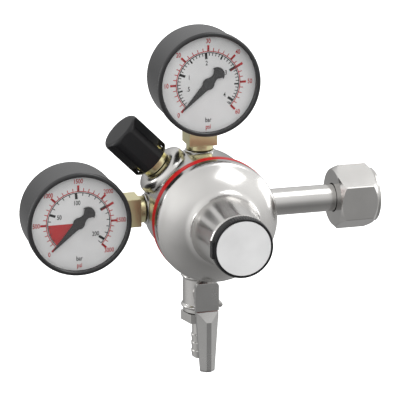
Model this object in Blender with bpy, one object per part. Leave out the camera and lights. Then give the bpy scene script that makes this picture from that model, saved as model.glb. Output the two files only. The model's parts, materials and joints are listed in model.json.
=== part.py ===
"""Gas pressure regulator with two gauges, a relief valve and a shut-off valve.

The origin is the centre of the inlet washer's outer face, where the cylinder valve seats.
+X points into the cylinder valve, -Y is the front with the adjusting knob, +Z is up.
Sizes here are in millimetres; make() turns them into metres. Most pieces are turned about
the local Z axis of a place (a matrix), and a profile is a list of (radius, height) points.
"""
import math

import bmesh
import bpy
from mathutils import Matrix, Vector

MM = 0.001
GAP = 0.3                    # clearance left between touching pieces
OVERRUN = 1.0                # how far a cutter or a fused shape runs past a face
SKEW = 4.0                   # turn of the bosses, so that their edges miss the drum's
BORE_SKEW = 7.75             # turn of the bores, so that their corners miss the bosses' edges

# Sides of a turned piece, by its size, and points in one turn of a coil
LARGE = 32
MEDIUM = 24
SMALL = 16
TINY = 10
COIL_STEPS = 12

RIGHT = Vector((1, 0, 0))
FRONT = Vector((0, -1, 0))
UP = Vector((0, 0, 1))

# Where the pieces stand. The hub is the point where the knob axis crosses the inlet axis.
INLET_REACH = 80.0           # hub to the washer's outer face
PORT_SETBACK = 6.0           # the gauge, relief and outlet ports lie this far behind the hub

# Valve body: a drum on the knob axis. Heights on that axis grow towards the front.
BODY_RADIUS = 27.8
BODY_FRONT = 16.2
BODY_BACK = -15.2
BODY_EDGE = 6.0
SPIGOT_STEP = 5.3            # the threaded spigot is this much smaller than the drum
SPIGOT_LENGTH = 5.3
CHAMBER_WALL = 4.0
CHAMBER_FLOOR = 13.0
BOSS_RADIUS = 7.4
BOSS_RISE = 0.35             # bosses stand this far out of the drum
RELIEF_BOSS_RADIUS = 8.3
RELIEF_BOSS_RISE = 2.8
RELIEF_FOOT_RADIUS = 13.5    # the relief boss widens to this where it meets the drum
RELIEF_FOOT_RISE = 0.8       # depth of the foot below the drum's surface
RELIEF_BACK_MARGIN = 1.2     # the foot stops this far in front of the drum's back
PORT_DEPTH = 9.0
PASSAGE_RADIUS = 2.5
DRILLING_RADIUS = 2.0
DRILLING_OFFSET = 14.0       # axial drillings join the chamber to the low-pressure ports
CAVITY_RADIUS = 5.0
CAVITY_BACK = -10.0

# Clamp ring, diaphragm and bonnet
RING_WIDTH = 4.0
RING_PROUD = 0.2
BONNET_PROUD = 2.2           # the bonnet flange overhangs the drum
FLANGE_LENGTH = 3.6
SHOULDER_RADIUS = 3.4
DOME_END = 37.0
NECK_TAPER = 2.7             # the neck is this much wider at its root
NECK_WALL = 2.3
BONNET_FRONT = 62.5
SPRING_BORE = 12.0
FRONT_WALL = 5.0
KEY_WIDTH = 2.0
KEY_HEIGHT = 1.6
DIAPHRAGM_THICKNESS = 0.6
PLATE_RADIUS = 11.5
PLATE_THICKNESS = 1.8
PLATE_BOSS_ROOM = 1.75       # between the plate's boss and the spring round it
PLATE_BOSS_HEIGHT = 2.4

# Adjusting screw, spring and knob
SCREW_RADIUS = 4.0
SCREW_TIP = 38.0
SCREW_COLLAR_RADIUS = 6.5
SCREW_COLLAR_LENGTH = 2.2
BUTTON_BACK = 45.3
BUTTON_THICKNESS = 4.0
SPRING_ROOM = 0.65           # between the spring and the bonnet's key
SPRING_WIRE_RADIUS = 1.25
SPRING_TURNS = 5
CIRCLIP_RADIUS = 6.0
CIRCLIP_THICKNESS = 0.8
GROOVE_DEPTH = 0.6
KNOB_RADIUS = 14.4
KNOB_LENGTH = 5.6
KNOB_WEB = 2.1
KNOB_RIM = 1.1
BADGE_THICKNESS = 1.6
TAB_HEIGHT = 8.0
TAB_PROUD = 0.6
TAB_SETBACK = 1.2            # the tab starts this far from the knob's back
SQUARE_DRIVE = 5.0

# Nozzle and poppet, on the knob axis inside the body
NOZZLE_FLANGE_RADIUS = 8.0
NOZZLE_FLANGE_LENGTH = 2.2
NOZZLE_SHANK_RADIUS = 6.0
NOZZLE_SHANK_LENGTH = 8.0
NOZZLE_TIP_RADIUS = 3.5
NOZZLE_TIP_LENGTH = 2.5
NOZZLE_HOLE = 1.6
POPPET_RADIUS = 3.3
POPPET_LENGTH = 4.0
POPPET_PIN_RADIUS = 0.8
POPPET_SPRING_RADIUS = 2.4
POPPET_SPRING_WIRE = 0.4

# Inlet nipple, washer and union nut. Distances run back from the sealing face.
STEM_RADIUS = 6.7
STEM_BORE = 2.5
NOSE_STEP = 1.3              # the nose is this much smaller than the collar
COLLAR_ROOM = 1.0            # between the collar and the nut's thread
COLLAR_LENGTH = 2.7
WASHER_THICKNESS = 2.0
WASHER_BORE = 4.2
FILTER_RADIUS = 3.2
FILTER_LENGTH = 2.5
NUT_FLATS = 28.575           # 1 1/8 inch across flats
NUT_BACK = 13.5
NUT_FRONT = 7.55             # how far the nut reaches past the sealing face
NUT_FACE_RADIUS = 13.9
NUT_LIP_RADIUS = 13.3
NUT_BACK_CHAMFER = 2.6
NUT_HEX_FRONT = 3.0          # where the corners end, past the sealing face
NUT_THREAD_RADIUS = 10.5
NUT_BACK_WALL = 5.0

# Relief valve, on an axis leaning from the top towards the left
RELIEF_LEAN = 45.0
RELIEF_COLLAR_RADIUS = 7.2
RELIEF_COLLAR_LENGTH = 3.6
RELIEF_FLANGE_RADIUS = 8.2
RELIEF_FLANGE_LENGTH = 4.9
RELIEF_TUBE_RADIUS = 6.2
RELIEF_TUBE_LENGTH = 12.2
RELIEF_BORE = 4.4
RELIEF_HOLE = 1.5
RELIEF_CAP_WALL = 1.2
RELIEF_CAP_CORNER_RISE = 0.55
RELIEF_CAP_LENGTH = 22.5
RELIEF_CAP_TOP = 3.0
RELIEF_WINDOW_WIDTH = 6.0
RELIEF_WINDOW_HEIGHT = 4.0
RELIEF_POPPET_LENGTH = 3.6
RELIEF_STEM_RADIUS = 1.4
RELIEF_WIRE_RADIUS = 0.45
RELIEF_ADJUSTER_LENGTH = 4.0

# Shut-off valve and hose barb below the body. Distances run down from the bottom boss.
VALVE_NECK_RADIUS = 7.0
VALVE_NECK_LENGTH = 6.35
VALVE_WALL = 2.2
VALVE_RIM_PROUD = 0.95
VALVE_RIM_LENGTH = 2.2
SEAT_ROOM = 1.3              # each rim starts this far past the ball
VALVE_SKIRT_STEP = 0.1
VALVE_SKIRT_LENGTH = 1.9
BALL_ROOM = 1.0              # between the ball and its chamber's wall
VALVE_PASSAGE = 2.2
BALL_RADIUS = 5.2
SEAT_RADIUS = 2.8
VALVE_STEM_RADIUS = 2.2
VALVE_STEM_COLLAR = 3.1
STEM_BOSS_RADIUS = 5.6
STEM_BOSS_RISE = 1.9
TONGUE_WIDTH = 1.6
TONGUE_LENGTH = 5.0
TONGUE_DEPTH = 1.6
BARB_FLATS = 16.45
BARB_TURN = 14.0             # the barb's hexagon stands turned by this angle
BARB_HEX_LENGTH = 4.7
BARB_PLUG_LENGTH = 3.4
BARB_NECK_RADIUS = 3.9
BARB_NECK_LENGTH = 7.4
BARB_RADIUS = 4.4
BARB_PITCH = 4.2
BARB_COUNT = 3
BARB_BORE = 2.3

# Lever of the shut-off valve
LEVER_WIDTH = 12.0
LEVER_ABOVE = 7.2
LEVER_BELOW = 7.3
LEVER_PLATE = 2.7
LEVER_CORNER = 2.0
LEVER_LENGTH = 38.3          # pivot to the handle's tip
LEVER_TOP_WIDTH = 11.4
LEVER_TIP_WIDTH = 7.4
LEVER_LEDGE = 0.5
LEVER_TIP_PLATE = 1.4        # thickness of the handle's plate at its tip
RIDGE_HEIGHT = 2.6
RIDGE_WIDTH = 2.4
RIDGE_START = 5.2            # the ridge reaches its height this far below the bend
LEVER_HUB_RADIUS = 4.6
STOP_OFFSET = 9.3
STOP_ANGLE = -36.0
STOP_RADIUS = 1.3
TAB_ANGLE = -56.0
TAB_WIDTH = 2.4

# Gauges
GAUGE_RADIUS = 24.6
GAUGE_WALL = 0.8
GAUGE_BACK = -10.0           # height of the case's back from the port plane
BEZEL_PROUD = 0.8            # the bezel stands this far out of the case
BEZEL_LENGTH = 5.4
GAUGE_EDGE = 4.0
WINDOW_THICKNESS = 1.0
WINDOW_RECESS = 0.9
DIAL_DEPTH = 3.6             # the dial's back lies this far behind the bezel's front
DIAL_ROOM = 2.4              # between the movement and the dial
DIAL_THICKNESS = 0.5
SOCKET_NECK_RADIUS = 6.6
SOCKET_NECK_LENGTH = 2.55
SOCKET_FLATS = 14.0
SOCKET_BLOCK_LENGTH = 7.9
SOCKET_THREAD_RADIUS = 5.0
SOCKET_BORE = 1.5
INNER_BLOCK = 9.4
INNER_BLOCK_END = 9.0        # distance from the gauge's centre to the inner block
POINTER_LENGTH = 18.4
POINTER_TAIL = 9.7
POINTER_THICKNESS = 0.5
ARBOR_RADIUS = 0.6
PINION_RADIUS = 1.4
SECTOR_PIVOT = (4.0, -13.2)
SECTOR_TAIL = 4.0
SECTOR_SWEEP = 34.0
SECTOR_MARGIN = 3.0
SECTOR_THICKNESS = 1.8
TUBE_RADIUS = 17.0
TUBE_WIDTH = 5.0
TUBE_DEPTH = 1.8
TUBE_TIP_ANGLE = -50.0
MOVEMENT_DEPTH = 7.0
MOVEMENT_PLATE = 1.0

# Values that follow from the ones above
PORT_RADIUS = SOCKET_THREAD_RADIUS + GAP
COLLAR_RADIUS = NUT_THREAD_RADIUS - COLLAR_ROOM
NOSE_RADIUS = COLLAR_RADIUS - NOSE_STEP
NECK_END_RADIUS = SPRING_BORE + NECK_WALL
NECK_RADIUS = NECK_END_RADIUS + NECK_TAPER
SPRING_MEAN_RADIUS = SPRING_BORE - KEY_HEIGHT - SPRING_ROOM - SPRING_WIRE_RADIUS
PLATE_BOSS_RADIUS = SPRING_MEAN_RADIUS - SPRING_WIRE_RADIUS - PLATE_BOSS_ROOM
BADGE_RADIUS = KNOB_RADIUS - KNOB_RIM - GAP
RELIEF_CAP_FLATS = 2 * (RELIEF_FLANGE_RADIUS + GAP + RELIEF_CAP_WALL)
RELIEF_CAP_CORNER = RELIEF_CAP_FLATS / 2 + RELIEF_CAP_CORNER_RISE
VALVE_CHAMBER_RADIUS = BALL_RADIUS + BALL_ROOM
VALVE_RADIUS = VALVE_CHAMBER_RADIUS + VALVE_WALL
VALVE_RIM_RADIUS = VALVE_RADIUS + VALVE_RIM_PROUD
VALVE_SKIRT_RADIUS = VALVE_RADIUS - VALVE_SKIRT_STEP
VALVE_SPAN = 2 * (BALL_RADIUS + SEAT_ROOM)         # plain length between the two rims
MOVEMENT_BACK = INNER_BLOCK / 2 + GAP
DIAL_BACK = MOVEMENT_BACK + MOVEMENT_DEPTH + DIAL_ROOM
GAUGE_FRONT = DIAL_BACK + DIAL_DEPTH
BEZEL_RADIUS = GAUGE_RADIUS + BEZEL_PROUD
SPIGOT_RADIUS = BODY_RADIUS - SPIGOT_STEP
SPIGOT_FRONT = BODY_FRONT + SPIGOT_LENGTH
CHAMBER_RADIUS = SPIGOT_RADIUS - CHAMBER_WALL
BOSS_TOP = BODY_RADIUS + BOSS_RISE
RELIEF_BOSS_TOP = BODY_RADIUS + RELIEF_BOSS_RISE
STUB_LENGTH = PORT_DEPTH - GAP
NOZZLE_BORE = NOZZLE_SHANK_RADIUS + GAP
BONNET_RADIUS = BODY_RADIUS + BONNET_PROUD
BONNET_BACK = BODY_FRONT + RING_WIDTH + 2 * GAP
DIAPHRAGM_BACK = SPIGOT_FRONT + GAP
DIAPHRAGM_FRONT = DIAPHRAGM_BACK + DIAPHRAGM_THICKNESS
CLAMP_FACE = DIAPHRAGM_FRONT + GAP
PLATE_BACK = DIAPHRAGM_FRONT + GAP
PLATE_FRONT = PLATE_BACK + PLATE_THICKNESS
BONNET_WALL_BACK = BONNET_FRONT - FRONT_WALL
KNOB_BACK = BONNET_FRONT + GAP
KNOB_FRONT = KNOB_BACK + KNOB_LENGTH
KNOB_FLOOR = KNOB_FRONT - BADGE_THICKNESS - GAP
CIRCLIP_BACK = BONNET_FRONT + GAP
NOZZLE_BACK = CHAMBER_FLOOR + GAP - NOZZLE_SHANK_LENGTH
VALVE_TOP = BOSS_TOP + GAP + VALVE_NECK_LENGTH
VALVE_BORE_TOP = VALVE_TOP + VALVE_RIM_LENGTH - 0.7
VALVE_CENTRE = VALVE_TOP + VALVE_RIM_LENGTH + VALVE_SPAN / 2
VALVE_END = VALVE_CENTRE + VALVE_SPAN / 2 + VALVE_RIM_LENGTH + VALVE_SKIRT_LENGTH
STEM_BOSS_FRONT = VALVE_RADIUS + STEM_BOSS_RISE
LEVER_BACK = STEM_BOSS_FRONT + GAP + 0.7
LEVER_FRONT = LEVER_BACK + LEVER_PLATE
SOCKET_TOP = GAP + SOCKET_NECK_LENGTH + SOCKET_BLOCK_LENGTH
GAUGE_OFFSET = SOCKET_TOP + GAP + GAUGE_RADIUS    # boss top to the gauge's centre
GAUGE_BORE = GAUGE_RADIUS - GAUGE_WALL
SECTOR_BACK = MOVEMENT_BACK + MOVEMENT_DEPTH / 2 - SECTOR_THICKNESS / 2


# ---------------------------------------------------------------- helpers

def place(origin, towards, upright):
    """A matrix at origin whose Z points along towards, with Y as near upright as it can be."""
    z_axis = Vector(towards).normalized()
    x_axis = Vector(upright).cross(z_axis).normalized()
    y_axis = z_axis.cross(x_axis)
    turn = Matrix((x_axis, y_axis, z_axis)).transposed().to_4x4()
    return Matrix.Translation(Vector(origin) * MM) @ turn


def shifted(matrix, x=0.0, y=0.0, z=0.0, turn=0.0):
    """The same place moved in its own axes, then turned about its own Z (degrees)."""
    move = Matrix.Translation(Vector((x, y, z)) * MM)
    return matrix @ move @ Matrix.Rotation(math.radians(turn), 4, 'Z')


def arc(centre, radius, start, end, count):
    """Points on an arc, angles in degrees, both ends included."""
    steps = [start + (end - start) * i / count for i in range(count + 1)]
    return [(centre[0] + radius * math.cos(math.radians(a)),
             centre[1] + radius * math.sin(math.radians(a))) for a in steps]


def turned(profile, steps):
    """A profile spun about Z. It starts and ends on the axis, or it is a closed ring."""
    shape = bmesh.new()
    verts = [shape.verts.new((radius, 0, height)) for radius, height in profile]
    edges = [shape.edges.new(pair) for pair in zip(verts, verts[1:])]
    if profile[0][0] > 0:
        edges.append(shape.edges.new((verts[-1], verts[0])))
    bmesh.ops.spin(shape, geom=verts + edges, cent=(0, 0, 0), axis=(0, 0, 1), dvec=(0, 0, 0),
                   angle=2 * math.pi, steps=steps, use_merge=True, use_duplicate=False)
    bmesh.ops.remove_doubles(shape, verts=shape.verts, dist=0.0001)
    bmesh.ops.recalc_face_normals(shape, faces=shape.faces)
    return shape


def rod(radius, low, high, steps=SMALL):
    return turned([(0, low), (radius, low), (radius, high), (0, high)], steps)


def ring(inner, outer, low, high, steps=MEDIUM):
    return turned([(outer, low), (outer, high), (inner, high), (inner, low)], steps)


def prism(outline, low, high):
    """A flat outline of (x, y) points, extruded along Z."""
    shape = bmesh.new()
    face = shape.faces.new([shape.verts.new((x, y, low)) for x, y in outline])
    grown = bmesh.ops.extrude_face_region(shape, geom=[face])
    top = [item for item in grown['geom'] if isinstance(item, bmesh.types.BMVert)]
    bmesh.ops.translate(shape, verts=top, vec=(0, 0, high - low))
    bmesh.ops.recalc_face_normals(shape, faces=shape.faces)
    return shape


def block(x_range, y_range, z_range):
    (left, right), (near, far) = x_range, y_range
    return prism([(left, near), (right, near), (right, far), (left, far)], *z_range)


def hexagon(flats, low, high):
    """A hexagonal prism with two of its flats facing along Y."""
    corner = flats / math.sqrt(3)
    return prism(arc((0, 0), corner, 0, 300, 5), low, high)


def bridged(sections):
    """A closed solid through a row of point rings of equal length."""
    shape = bmesh.new()
    rings = [[shape.verts.new(point) for point in section] for section in sections]
    for first, second in zip(rings, rings[1:]):
        for i in range(len(first)):
            shape.faces.new((first[i - 1], first[i], second[i], second[i - 1]))
    shape.faces.new(rings[0])
    shape.faces.new(rings[-1])
    bmesh.ops.recalc_face_normals(shape, faces=shape.faces)
    return shape


def make(name, shape, where, material):
    """Turns a shape in millimetres into an object at its place, under the hub."""
    bmesh.ops.scale(shape, vec=(MM, MM, MM), verts=shape.verts)
    mesh = bpy.data.meshes.new(name)
    shape.to_mesh(mesh)
    shape.free()
    mesh.shade_smooth()
    mesh.set_sharp_from_angle(angle=math.radians(35))
    if material:
        mesh.materials.append(material)
    item = bpy.data.objects.new(name, mesh)
    bpy.context.collection.objects.link(item)
    item.parent = hub
    item.matrix_basis = where
    return item


def combine(item, shape, where, operation):
    """Adds a Boolean with a hidden guide to an object."""
    label = '%s_%s_%d' % (item.name, operation.lower(), len(item.modifiers))
    guide = make(label, shape, where, None)
    guide.hide_render = True
    guide.display_type = 'WIRE'
    modifier = item.modifiers.new(label, 'BOOLEAN')
    modifier.operation = operation
    modifier.solver = 'EXACT'
    modifier.object = guide


def fuse(item, shape, where):
    combine(item, shape, where, 'UNION')


def cut(item, shape, where):
    combine(item, shape, where, 'DIFFERENCE')


def trim(item, shape, where):
    combine(item, shape, where, 'INTERSECT')


def coil(name, where, radius, wire, low, high, turns, material):
    """A round-wire spring along Z, drawn as a curve through points on its helix."""
    curve = bpy.data.curves.new(name, 'CURVE')
    curve.dimensions = '3D'
    curve.bevel_depth = wire * MM
    curve.bevel_resolution = 0
    curve.render_resolution_u = 0
    curve.use_fill_caps = True
    curve.materials.append(material)
    spline = curve.splines.new('POLY')
    count = turns * COIL_STEPS
    spline.points.add(count)
    for i, point in enumerate(spline.points):
        angle = 2 * math.pi * turns * i / count
        height = low + wire + (high - low - 2 * wire) * i / count
        point.co = (radius * MM * math.cos(angle), radius * MM * math.sin(angle), height * MM, 1)
    item = bpy.data.objects.new(name, curve)
    bpy.context.collection.objects.link(item)
    item.parent = hub
    item.matrix_basis = where
    return item


def metal(name, colour, roughness, metallic=1.0):
    material = bpy.data.materials.new(name)
    material.use_nodes = True
    shader = material.node_tree.nodes['Principled BSDF']
    shader.inputs['Base Color'].default_value = (*colour, 1.0)
    shader.inputs['Roughness'].default_value = roughness
    shader.inputs['Metallic'].default_value = metallic
    return material


def plastic(name, colour, roughness):
    return metal(name, colour, roughness, metallic=0.0)


# ---------------------------------------------------------------- body and bonnet

def valve_body():
    edge = arc((BODY_RADIUS - BODY_EDGE, BODY_BACK + BODY_EDGE), BODY_EDGE, -90, 0, 5)
    drum = [(0, BODY_BACK), *edge, (BODY_RADIUS, BODY_FRONT), (SPIGOT_RADIUS, BODY_FRONT),
            (SPIGOT_RADIUS, SPIGOT_FRONT), (0, SPIGOT_FRONT)]
    body = make('valve_body', turned(drum, LARGE), knob_axis, nickel)
    foot = BODY_RADIUS - BODY_EDGE
    for port in (inlet_port, left_port, top_port, bottom_port):
        fuse(body, rod(BOSS_RADIUS, foot, BOSS_TOP, MEDIUM), shifted(port, turn=SKEW))
    fuse(body, relief_boss(foot), shifted(relief_port, turn=SKEW))
    chamber = [(0, CAVITY_BACK), (CAVITY_RADIUS, CAVITY_BACK), (CAVITY_RADIUS, NOZZLE_BACK - GAP),
               (NOZZLE_BORE, NOZZLE_BACK - GAP), (NOZZLE_BORE, CHAMBER_FLOOR),
               (CHAMBER_RADIUS, CHAMBER_FLOOR), (CHAMBER_RADIUS, SPIGOT_FRONT + OVERRUN),
               (0, SPIGOT_FRONT + OVERRUN)]
    cut(body, turned(chamber, MEDIUM), knob_axis)
    high_pressure = ((inlet_port, BOSS_TOP), (left_port, BOSS_TOP))
    low_pressure = ((top_port, BOSS_TOP), (bottom_port, BOSS_TOP), (relief_port, RELIEF_BOSS_TOP))
    for port, top in high_pressure:
        cut(body, port_bore(top, CAVITY_RADIUS / 2), shifted(port, turn=BORE_SKEW))
    for port, top in low_pressure:
        cut(body, port_bore(top, DRILLING_OFFSET - DRILLING_RADIUS / 3), shifted(port, turn=BORE_SKEW))
        across = shifted(port, z=DRILLING_OFFSET)
        drilling = Matrix.Translation(across.translation) @ knob_axis.to_3x3().to_4x4()
        reach = PORT_SETBACK + CHAMBER_FLOOR + OVERRUN
        cut(body, rod(DRILLING_RADIUS, -DRILLING_RADIUS / 2, reach, TINY), drilling)


def relief_boss(foot):
    """A boss with a wide rounded shoulder, cut flat behind so that it stays on the drum."""
    width = RELIEF_FOOT_RADIUS - RELIEF_BOSS_RADIUS
    height = RELIEF_BOSS_RISE + RELIEF_FOOT_RISE
    base = RELIEF_BOSS_TOP - height
    shoulder = [(RELIEF_BOSS_RADIUS + width * x, base + height * z) for x, z in arc((0, 0), 1, 0, 90, 5)]
    shape = turned([(0, foot), (RELIEF_FOOT_RADIUS, foot), *shoulder, (0, RELIEF_BOSS_TOP)], MEDIUM)
    back = BODY_BACK + PORT_SETBACK + RELIEF_BACK_MARGIN
    everything = shape.verts[:] + shape.edges[:] + shape.faces[:]
    cut_edges = bmesh.ops.bisect_plane(shape, geom=everything, plane_co=(0, back, 0), plane_no=(0, -1, 0),
                                       clear_outer=True)['geom_cut']
    bmesh.ops.contextual_create(shape, geom=[e for e in cut_edges if isinstance(e, bmesh.types.BMEdge)])
    bmesh.ops.recalc_face_normals(shape, faces=shape.faces)
    return shape


def port_bore(top, inner_end):
    """A threaded port with its passage, along a port's own axis."""
    floor = top - PORT_DEPTH
    return turned([(0, inner_end), (PASSAGE_RADIUS, inner_end), (PASSAGE_RADIUS, floor),
                   (PORT_RADIUS, floor), (PORT_RADIUS, top + OVERRUN), (0, top + OVERRUN)], SMALL)


def clamp_ring():
    low = BODY_FRONT + GAP
    make('clamp_ring', ring(SPIGOT_RADIUS + GAP, BONNET_RADIUS + RING_PROUD, low, low + RING_WIDTH, LARGE),
         knob_axis, red)


def bonnet():
    flange_top = BONNET_BACK + FLANGE_LENGTH
    shoulder = arc((BONNET_RADIUS - SHOULDER_RADIUS, flange_top), SHOULDER_RADIUS, 0, 52, 4)
    dome_start = shoulder[-1]
    dome = [curve_point(dome_start, (NECK_RADIUS, DOME_END), 1.3, i / 5) for i in range(1, 6)]
    bore = SPIGOT_RADIUS + GAP
    profile = [(BONNET_RADIUS - 0.6, BONNET_BACK), (BONNET_RADIUS, BONNET_BACK + 0.6), *shoulder, *dome,
               (NECK_END_RADIUS, BONNET_FRONT - 2.0), (NECK_END_RADIUS - 0.6, BONNET_FRONT),
               (SCREW_RADIUS + GAP, BONNET_FRONT), (SCREW_RADIUS + GAP, BONNET_WALL_BACK),
               (SPRING_BORE, BONNET_WALL_BACK), (SPRING_BORE, DOME_END - 3), (CHAMBER_RADIUS, CLAMP_FACE),
               (bore, CLAMP_FACE), (bore, BONNET_BACK)]
    shell = make('bonnet', turned(profile, LARGE), knob_axis, nickel)
    key = block((-KEY_WIDTH / 2, KEY_WIDTH / 2), (SPRING_BORE - KEY_HEIGHT, SPRING_BORE + OVERRUN),
                (DOME_END, BONNET_WALL_BACK + OVERRUN))
    fuse(shell, key, knob_axis)


def curve_point(start, end, bulge, share):
    """A point on a shallow curve between two profile points, bulging outwards."""
    radius = start[0] + (end[0] - start[0]) * share
    height = start[1] + (end[1] - start[1]) * share
    swell = bulge * 4 * share * (1 - share)
    return (radius + swell * 0.6, height + swell * 0.8)


def diaphragm():
    make('diaphragm', rod(SPIGOT_RADIUS - 0.1, DIAPHRAGM_BACK, DIAPHRAGM_FRONT, LARGE), knob_axis, rubber)
    plate = [(0, PLATE_BACK), (PLATE_RADIUS, PLATE_BACK), (PLATE_RADIUS, PLATE_FRONT),
             (PLATE_BOSS_RADIUS, PLATE_FRONT), (PLATE_BOSS_RADIUS - 0.5, PLATE_FRONT + PLATE_BOSS_HEIGHT),
             (0, PLATE_FRONT + PLATE_BOSS_HEIGHT)]
    make('diaphragm_plate', turned(plate, MEDIUM), knob_axis, steel)


def adjuster():
    """Main spring, its keyed button, and the captive screw that drives the button."""
    coil('main_spring', knob_axis, SPRING_MEAN_RADIUS, SPRING_WIRE_RADIUS,
         PLATE_FRONT + GAP, BUTTON_BACK - GAP, SPRING_TURNS, steel)
    button_front = BUTTON_BACK + BUTTON_THICKNESS
    button = make('spring_button',
                  ring(SCREW_RADIUS + GAP, SPRING_BORE - GAP, BUTTON_BACK, button_front, MEDIUM),
                  knob_axis, brass)
    half_slot = KEY_WIDTH / 2 + GAP
    slot = block((-half_slot, half_slot), (SPRING_BORE - KEY_HEIGHT - GAP, SPRING_BORE + OVERRUN),
                 (BUTTON_BACK - OVERRUN, button_front + OVERRUN))
    cut(button, slot, knob_axis)
    collar_front = BONNET_WALL_BACK - GAP
    collar_back = collar_front - SCREW_COLLAR_LENGTH
    groove = SCREW_RADIUS - GROOVE_DEPTH
    groove_back = CIRCLIP_BACK - GAP
    groove_front = CIRCLIP_BACK + CIRCLIP_THICKNESS + GAP
    shoulder = KNOB_FLOOR - KNOB_WEB - GAP
    profile = [(0, SCREW_TIP), (SCREW_RADIUS - 0.6, SCREW_TIP), (SCREW_RADIUS, SCREW_TIP + 0.6),
               (SCREW_RADIUS, collar_back), (SCREW_COLLAR_RADIUS, collar_back),
               (SCREW_COLLAR_RADIUS, collar_front), (SCREW_RADIUS, collar_front),
               (SCREW_RADIUS, groove_back), (groove, groove_back), (groove, groove_front),
               (SCREW_RADIUS, groove_front), (SCREW_RADIUS, shoulder), (0, shoulder)]
    screw = make('adjusting_screw', turned(profile, SMALL), knob_axis, steel)
    half = SQUARE_DRIVE / 2
    fuse(screw, block((-half, half), (-half, half), (shoulder - OVERRUN, KNOB_FLOOR - GAP)), knob_axis)
    clip = make('screw_circlip', ring(groove + GAP, CIRCLIP_RADIUS, CIRCLIP_BACK,
                                      CIRCLIP_BACK + CIRCLIP_THICKNESS, SMALL), knob_axis, steel)
    mouth = block((-1.6, 1.6), (-CIRCLIP_RADIUS - OVERRUN, 0),
                  (CIRCLIP_BACK - OVERRUN, CIRCLIP_BACK + CIRCLIP_THICKNESS + OVERRUN))
    cut(clip, mouth, knob_axis)


def knob():
    rim = BADGE_RADIUS + GAP
    recess = CIRCLIP_RADIUS + 1.0
    web_back = KNOB_FLOOR - KNOB_WEB
    profile = [(0, web_back), (recess, web_back), (recess, KNOB_BACK), (KNOB_RADIUS - 0.4, KNOB_BACK),
               (KNOB_RADIUS, KNOB_BACK + 0.4), (KNOB_RADIUS, KNOB_FRONT - 0.5),
               (KNOB_RADIUS - 0.5, KNOB_FRONT), (rim, KNOB_FRONT), (rim, KNOB_FLOOR), (0, KNOB_FLOOR)]
    grip = make('adjusting_knob', turned(profile, LARGE), knob_axis, black)
    tab = block((-KNOB_RADIUS - TAB_PROUD, -rim - 0.4), (-TAB_HEIGHT / 2, TAB_HEIGHT / 2),
                (KNOB_BACK + TAB_SETBACK, KNOB_FRONT - 0.5))
    fuse(grip, tab, knob_axis)
    half = SQUARE_DRIVE / 2 + GAP
    cut(grip, block((-half, half), (-half, half), (web_back - OVERRUN, KNOB_FLOOR + OVERRUN)), knob_axis)
    make('knob_badge', rod(BADGE_RADIUS, KNOB_FLOOR + GAP, KNOB_FRONT, LARGE), knob_axis, white)


def nozzle():
    flange_back = CHAMBER_FLOOR + GAP
    flange_front = flange_back + NOZZLE_FLANGE_LENGTH
    tip = flange_front + NOZZLE_TIP_LENGTH
    profile = [(NOZZLE_HOLE, NOZZLE_BACK), (NOZZLE_SHANK_RADIUS, NOZZLE_BACK),
               (NOZZLE_SHANK_RADIUS, flange_back), (NOZZLE_FLANGE_RADIUS, flange_back),
               (NOZZLE_FLANGE_RADIUS, flange_front), (NOZZLE_TIP_RADIUS, flange_front),
               (NOZZLE_TIP_RADIUS, tip), (NOZZLE_HOLE, tip)]
    make('nozzle_seat', turned(profile, SMALL), knob_axis, brass)
    head = NOZZLE_BACK - GAP
    foot = head - POPPET_LENGTH
    poppet = [(0, foot), (POPPET_RADIUS, foot), (POPPET_RADIUS, head - 1.0), (POPPET_RADIUS - 1.0, head),
              (POPPET_PIN_RADIUS, head), (POPPET_PIN_RADIUS, SPIGOT_FRONT), (0, SPIGOT_FRONT)]
    make('poppet', turned(poppet, SMALL), knob_axis, steel)
    coil('poppet_spring', knob_axis, POPPET_SPRING_RADIUS, POPPET_SPRING_WIRE,
         CAVITY_BACK + GAP, foot - GAP, 5, steel)


# ---------------------------------------------------------------- inlet

def inlet():
    nose = INLET_REACH - WASHER_THICKNESS - GAP
    collar_back = INLET_REACH - NUT_BACK + NUT_BACK_WALL + GAP
    pocket = nose - FILTER_LENGTH - GAP
    shoulder = BOSS_TOP + GAP
    profile = [(STEM_BORE, shoulder - STUB_LENGTH), (SOCKET_THREAD_RADIUS, shoulder - STUB_LENGTH),
               (SOCKET_THREAD_RADIUS, shoulder), (STEM_RADIUS, shoulder), (STEM_RADIUS, collar_back),
               (COLLAR_RADIUS, collar_back), (COLLAR_RADIUS, collar_back + COLLAR_LENGTH),
               (NOSE_RADIUS, collar_back + COLLAR_LENGTH), (NOSE_RADIUS, nose),
               (FILTER_RADIUS + GAP, nose), (FILTER_RADIUS + GAP, pocket), (STEM_BORE, pocket)]
    make('inlet_nipple', turned(profile, MEDIUM), inlet_port, nickel)
    make('inlet_filter', rod(FILTER_RADIUS, pocket + GAP, nose, TINY), inlet_port, bronze)
    washer_back = INLET_REACH - WASHER_THICKNESS
    make('inlet_washer', ring(WASHER_BORE, NOSE_RADIUS - 0.1, washer_back, INLET_REACH, MEDIUM),
         inlet_port, fibre)
    union_nut()


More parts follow.
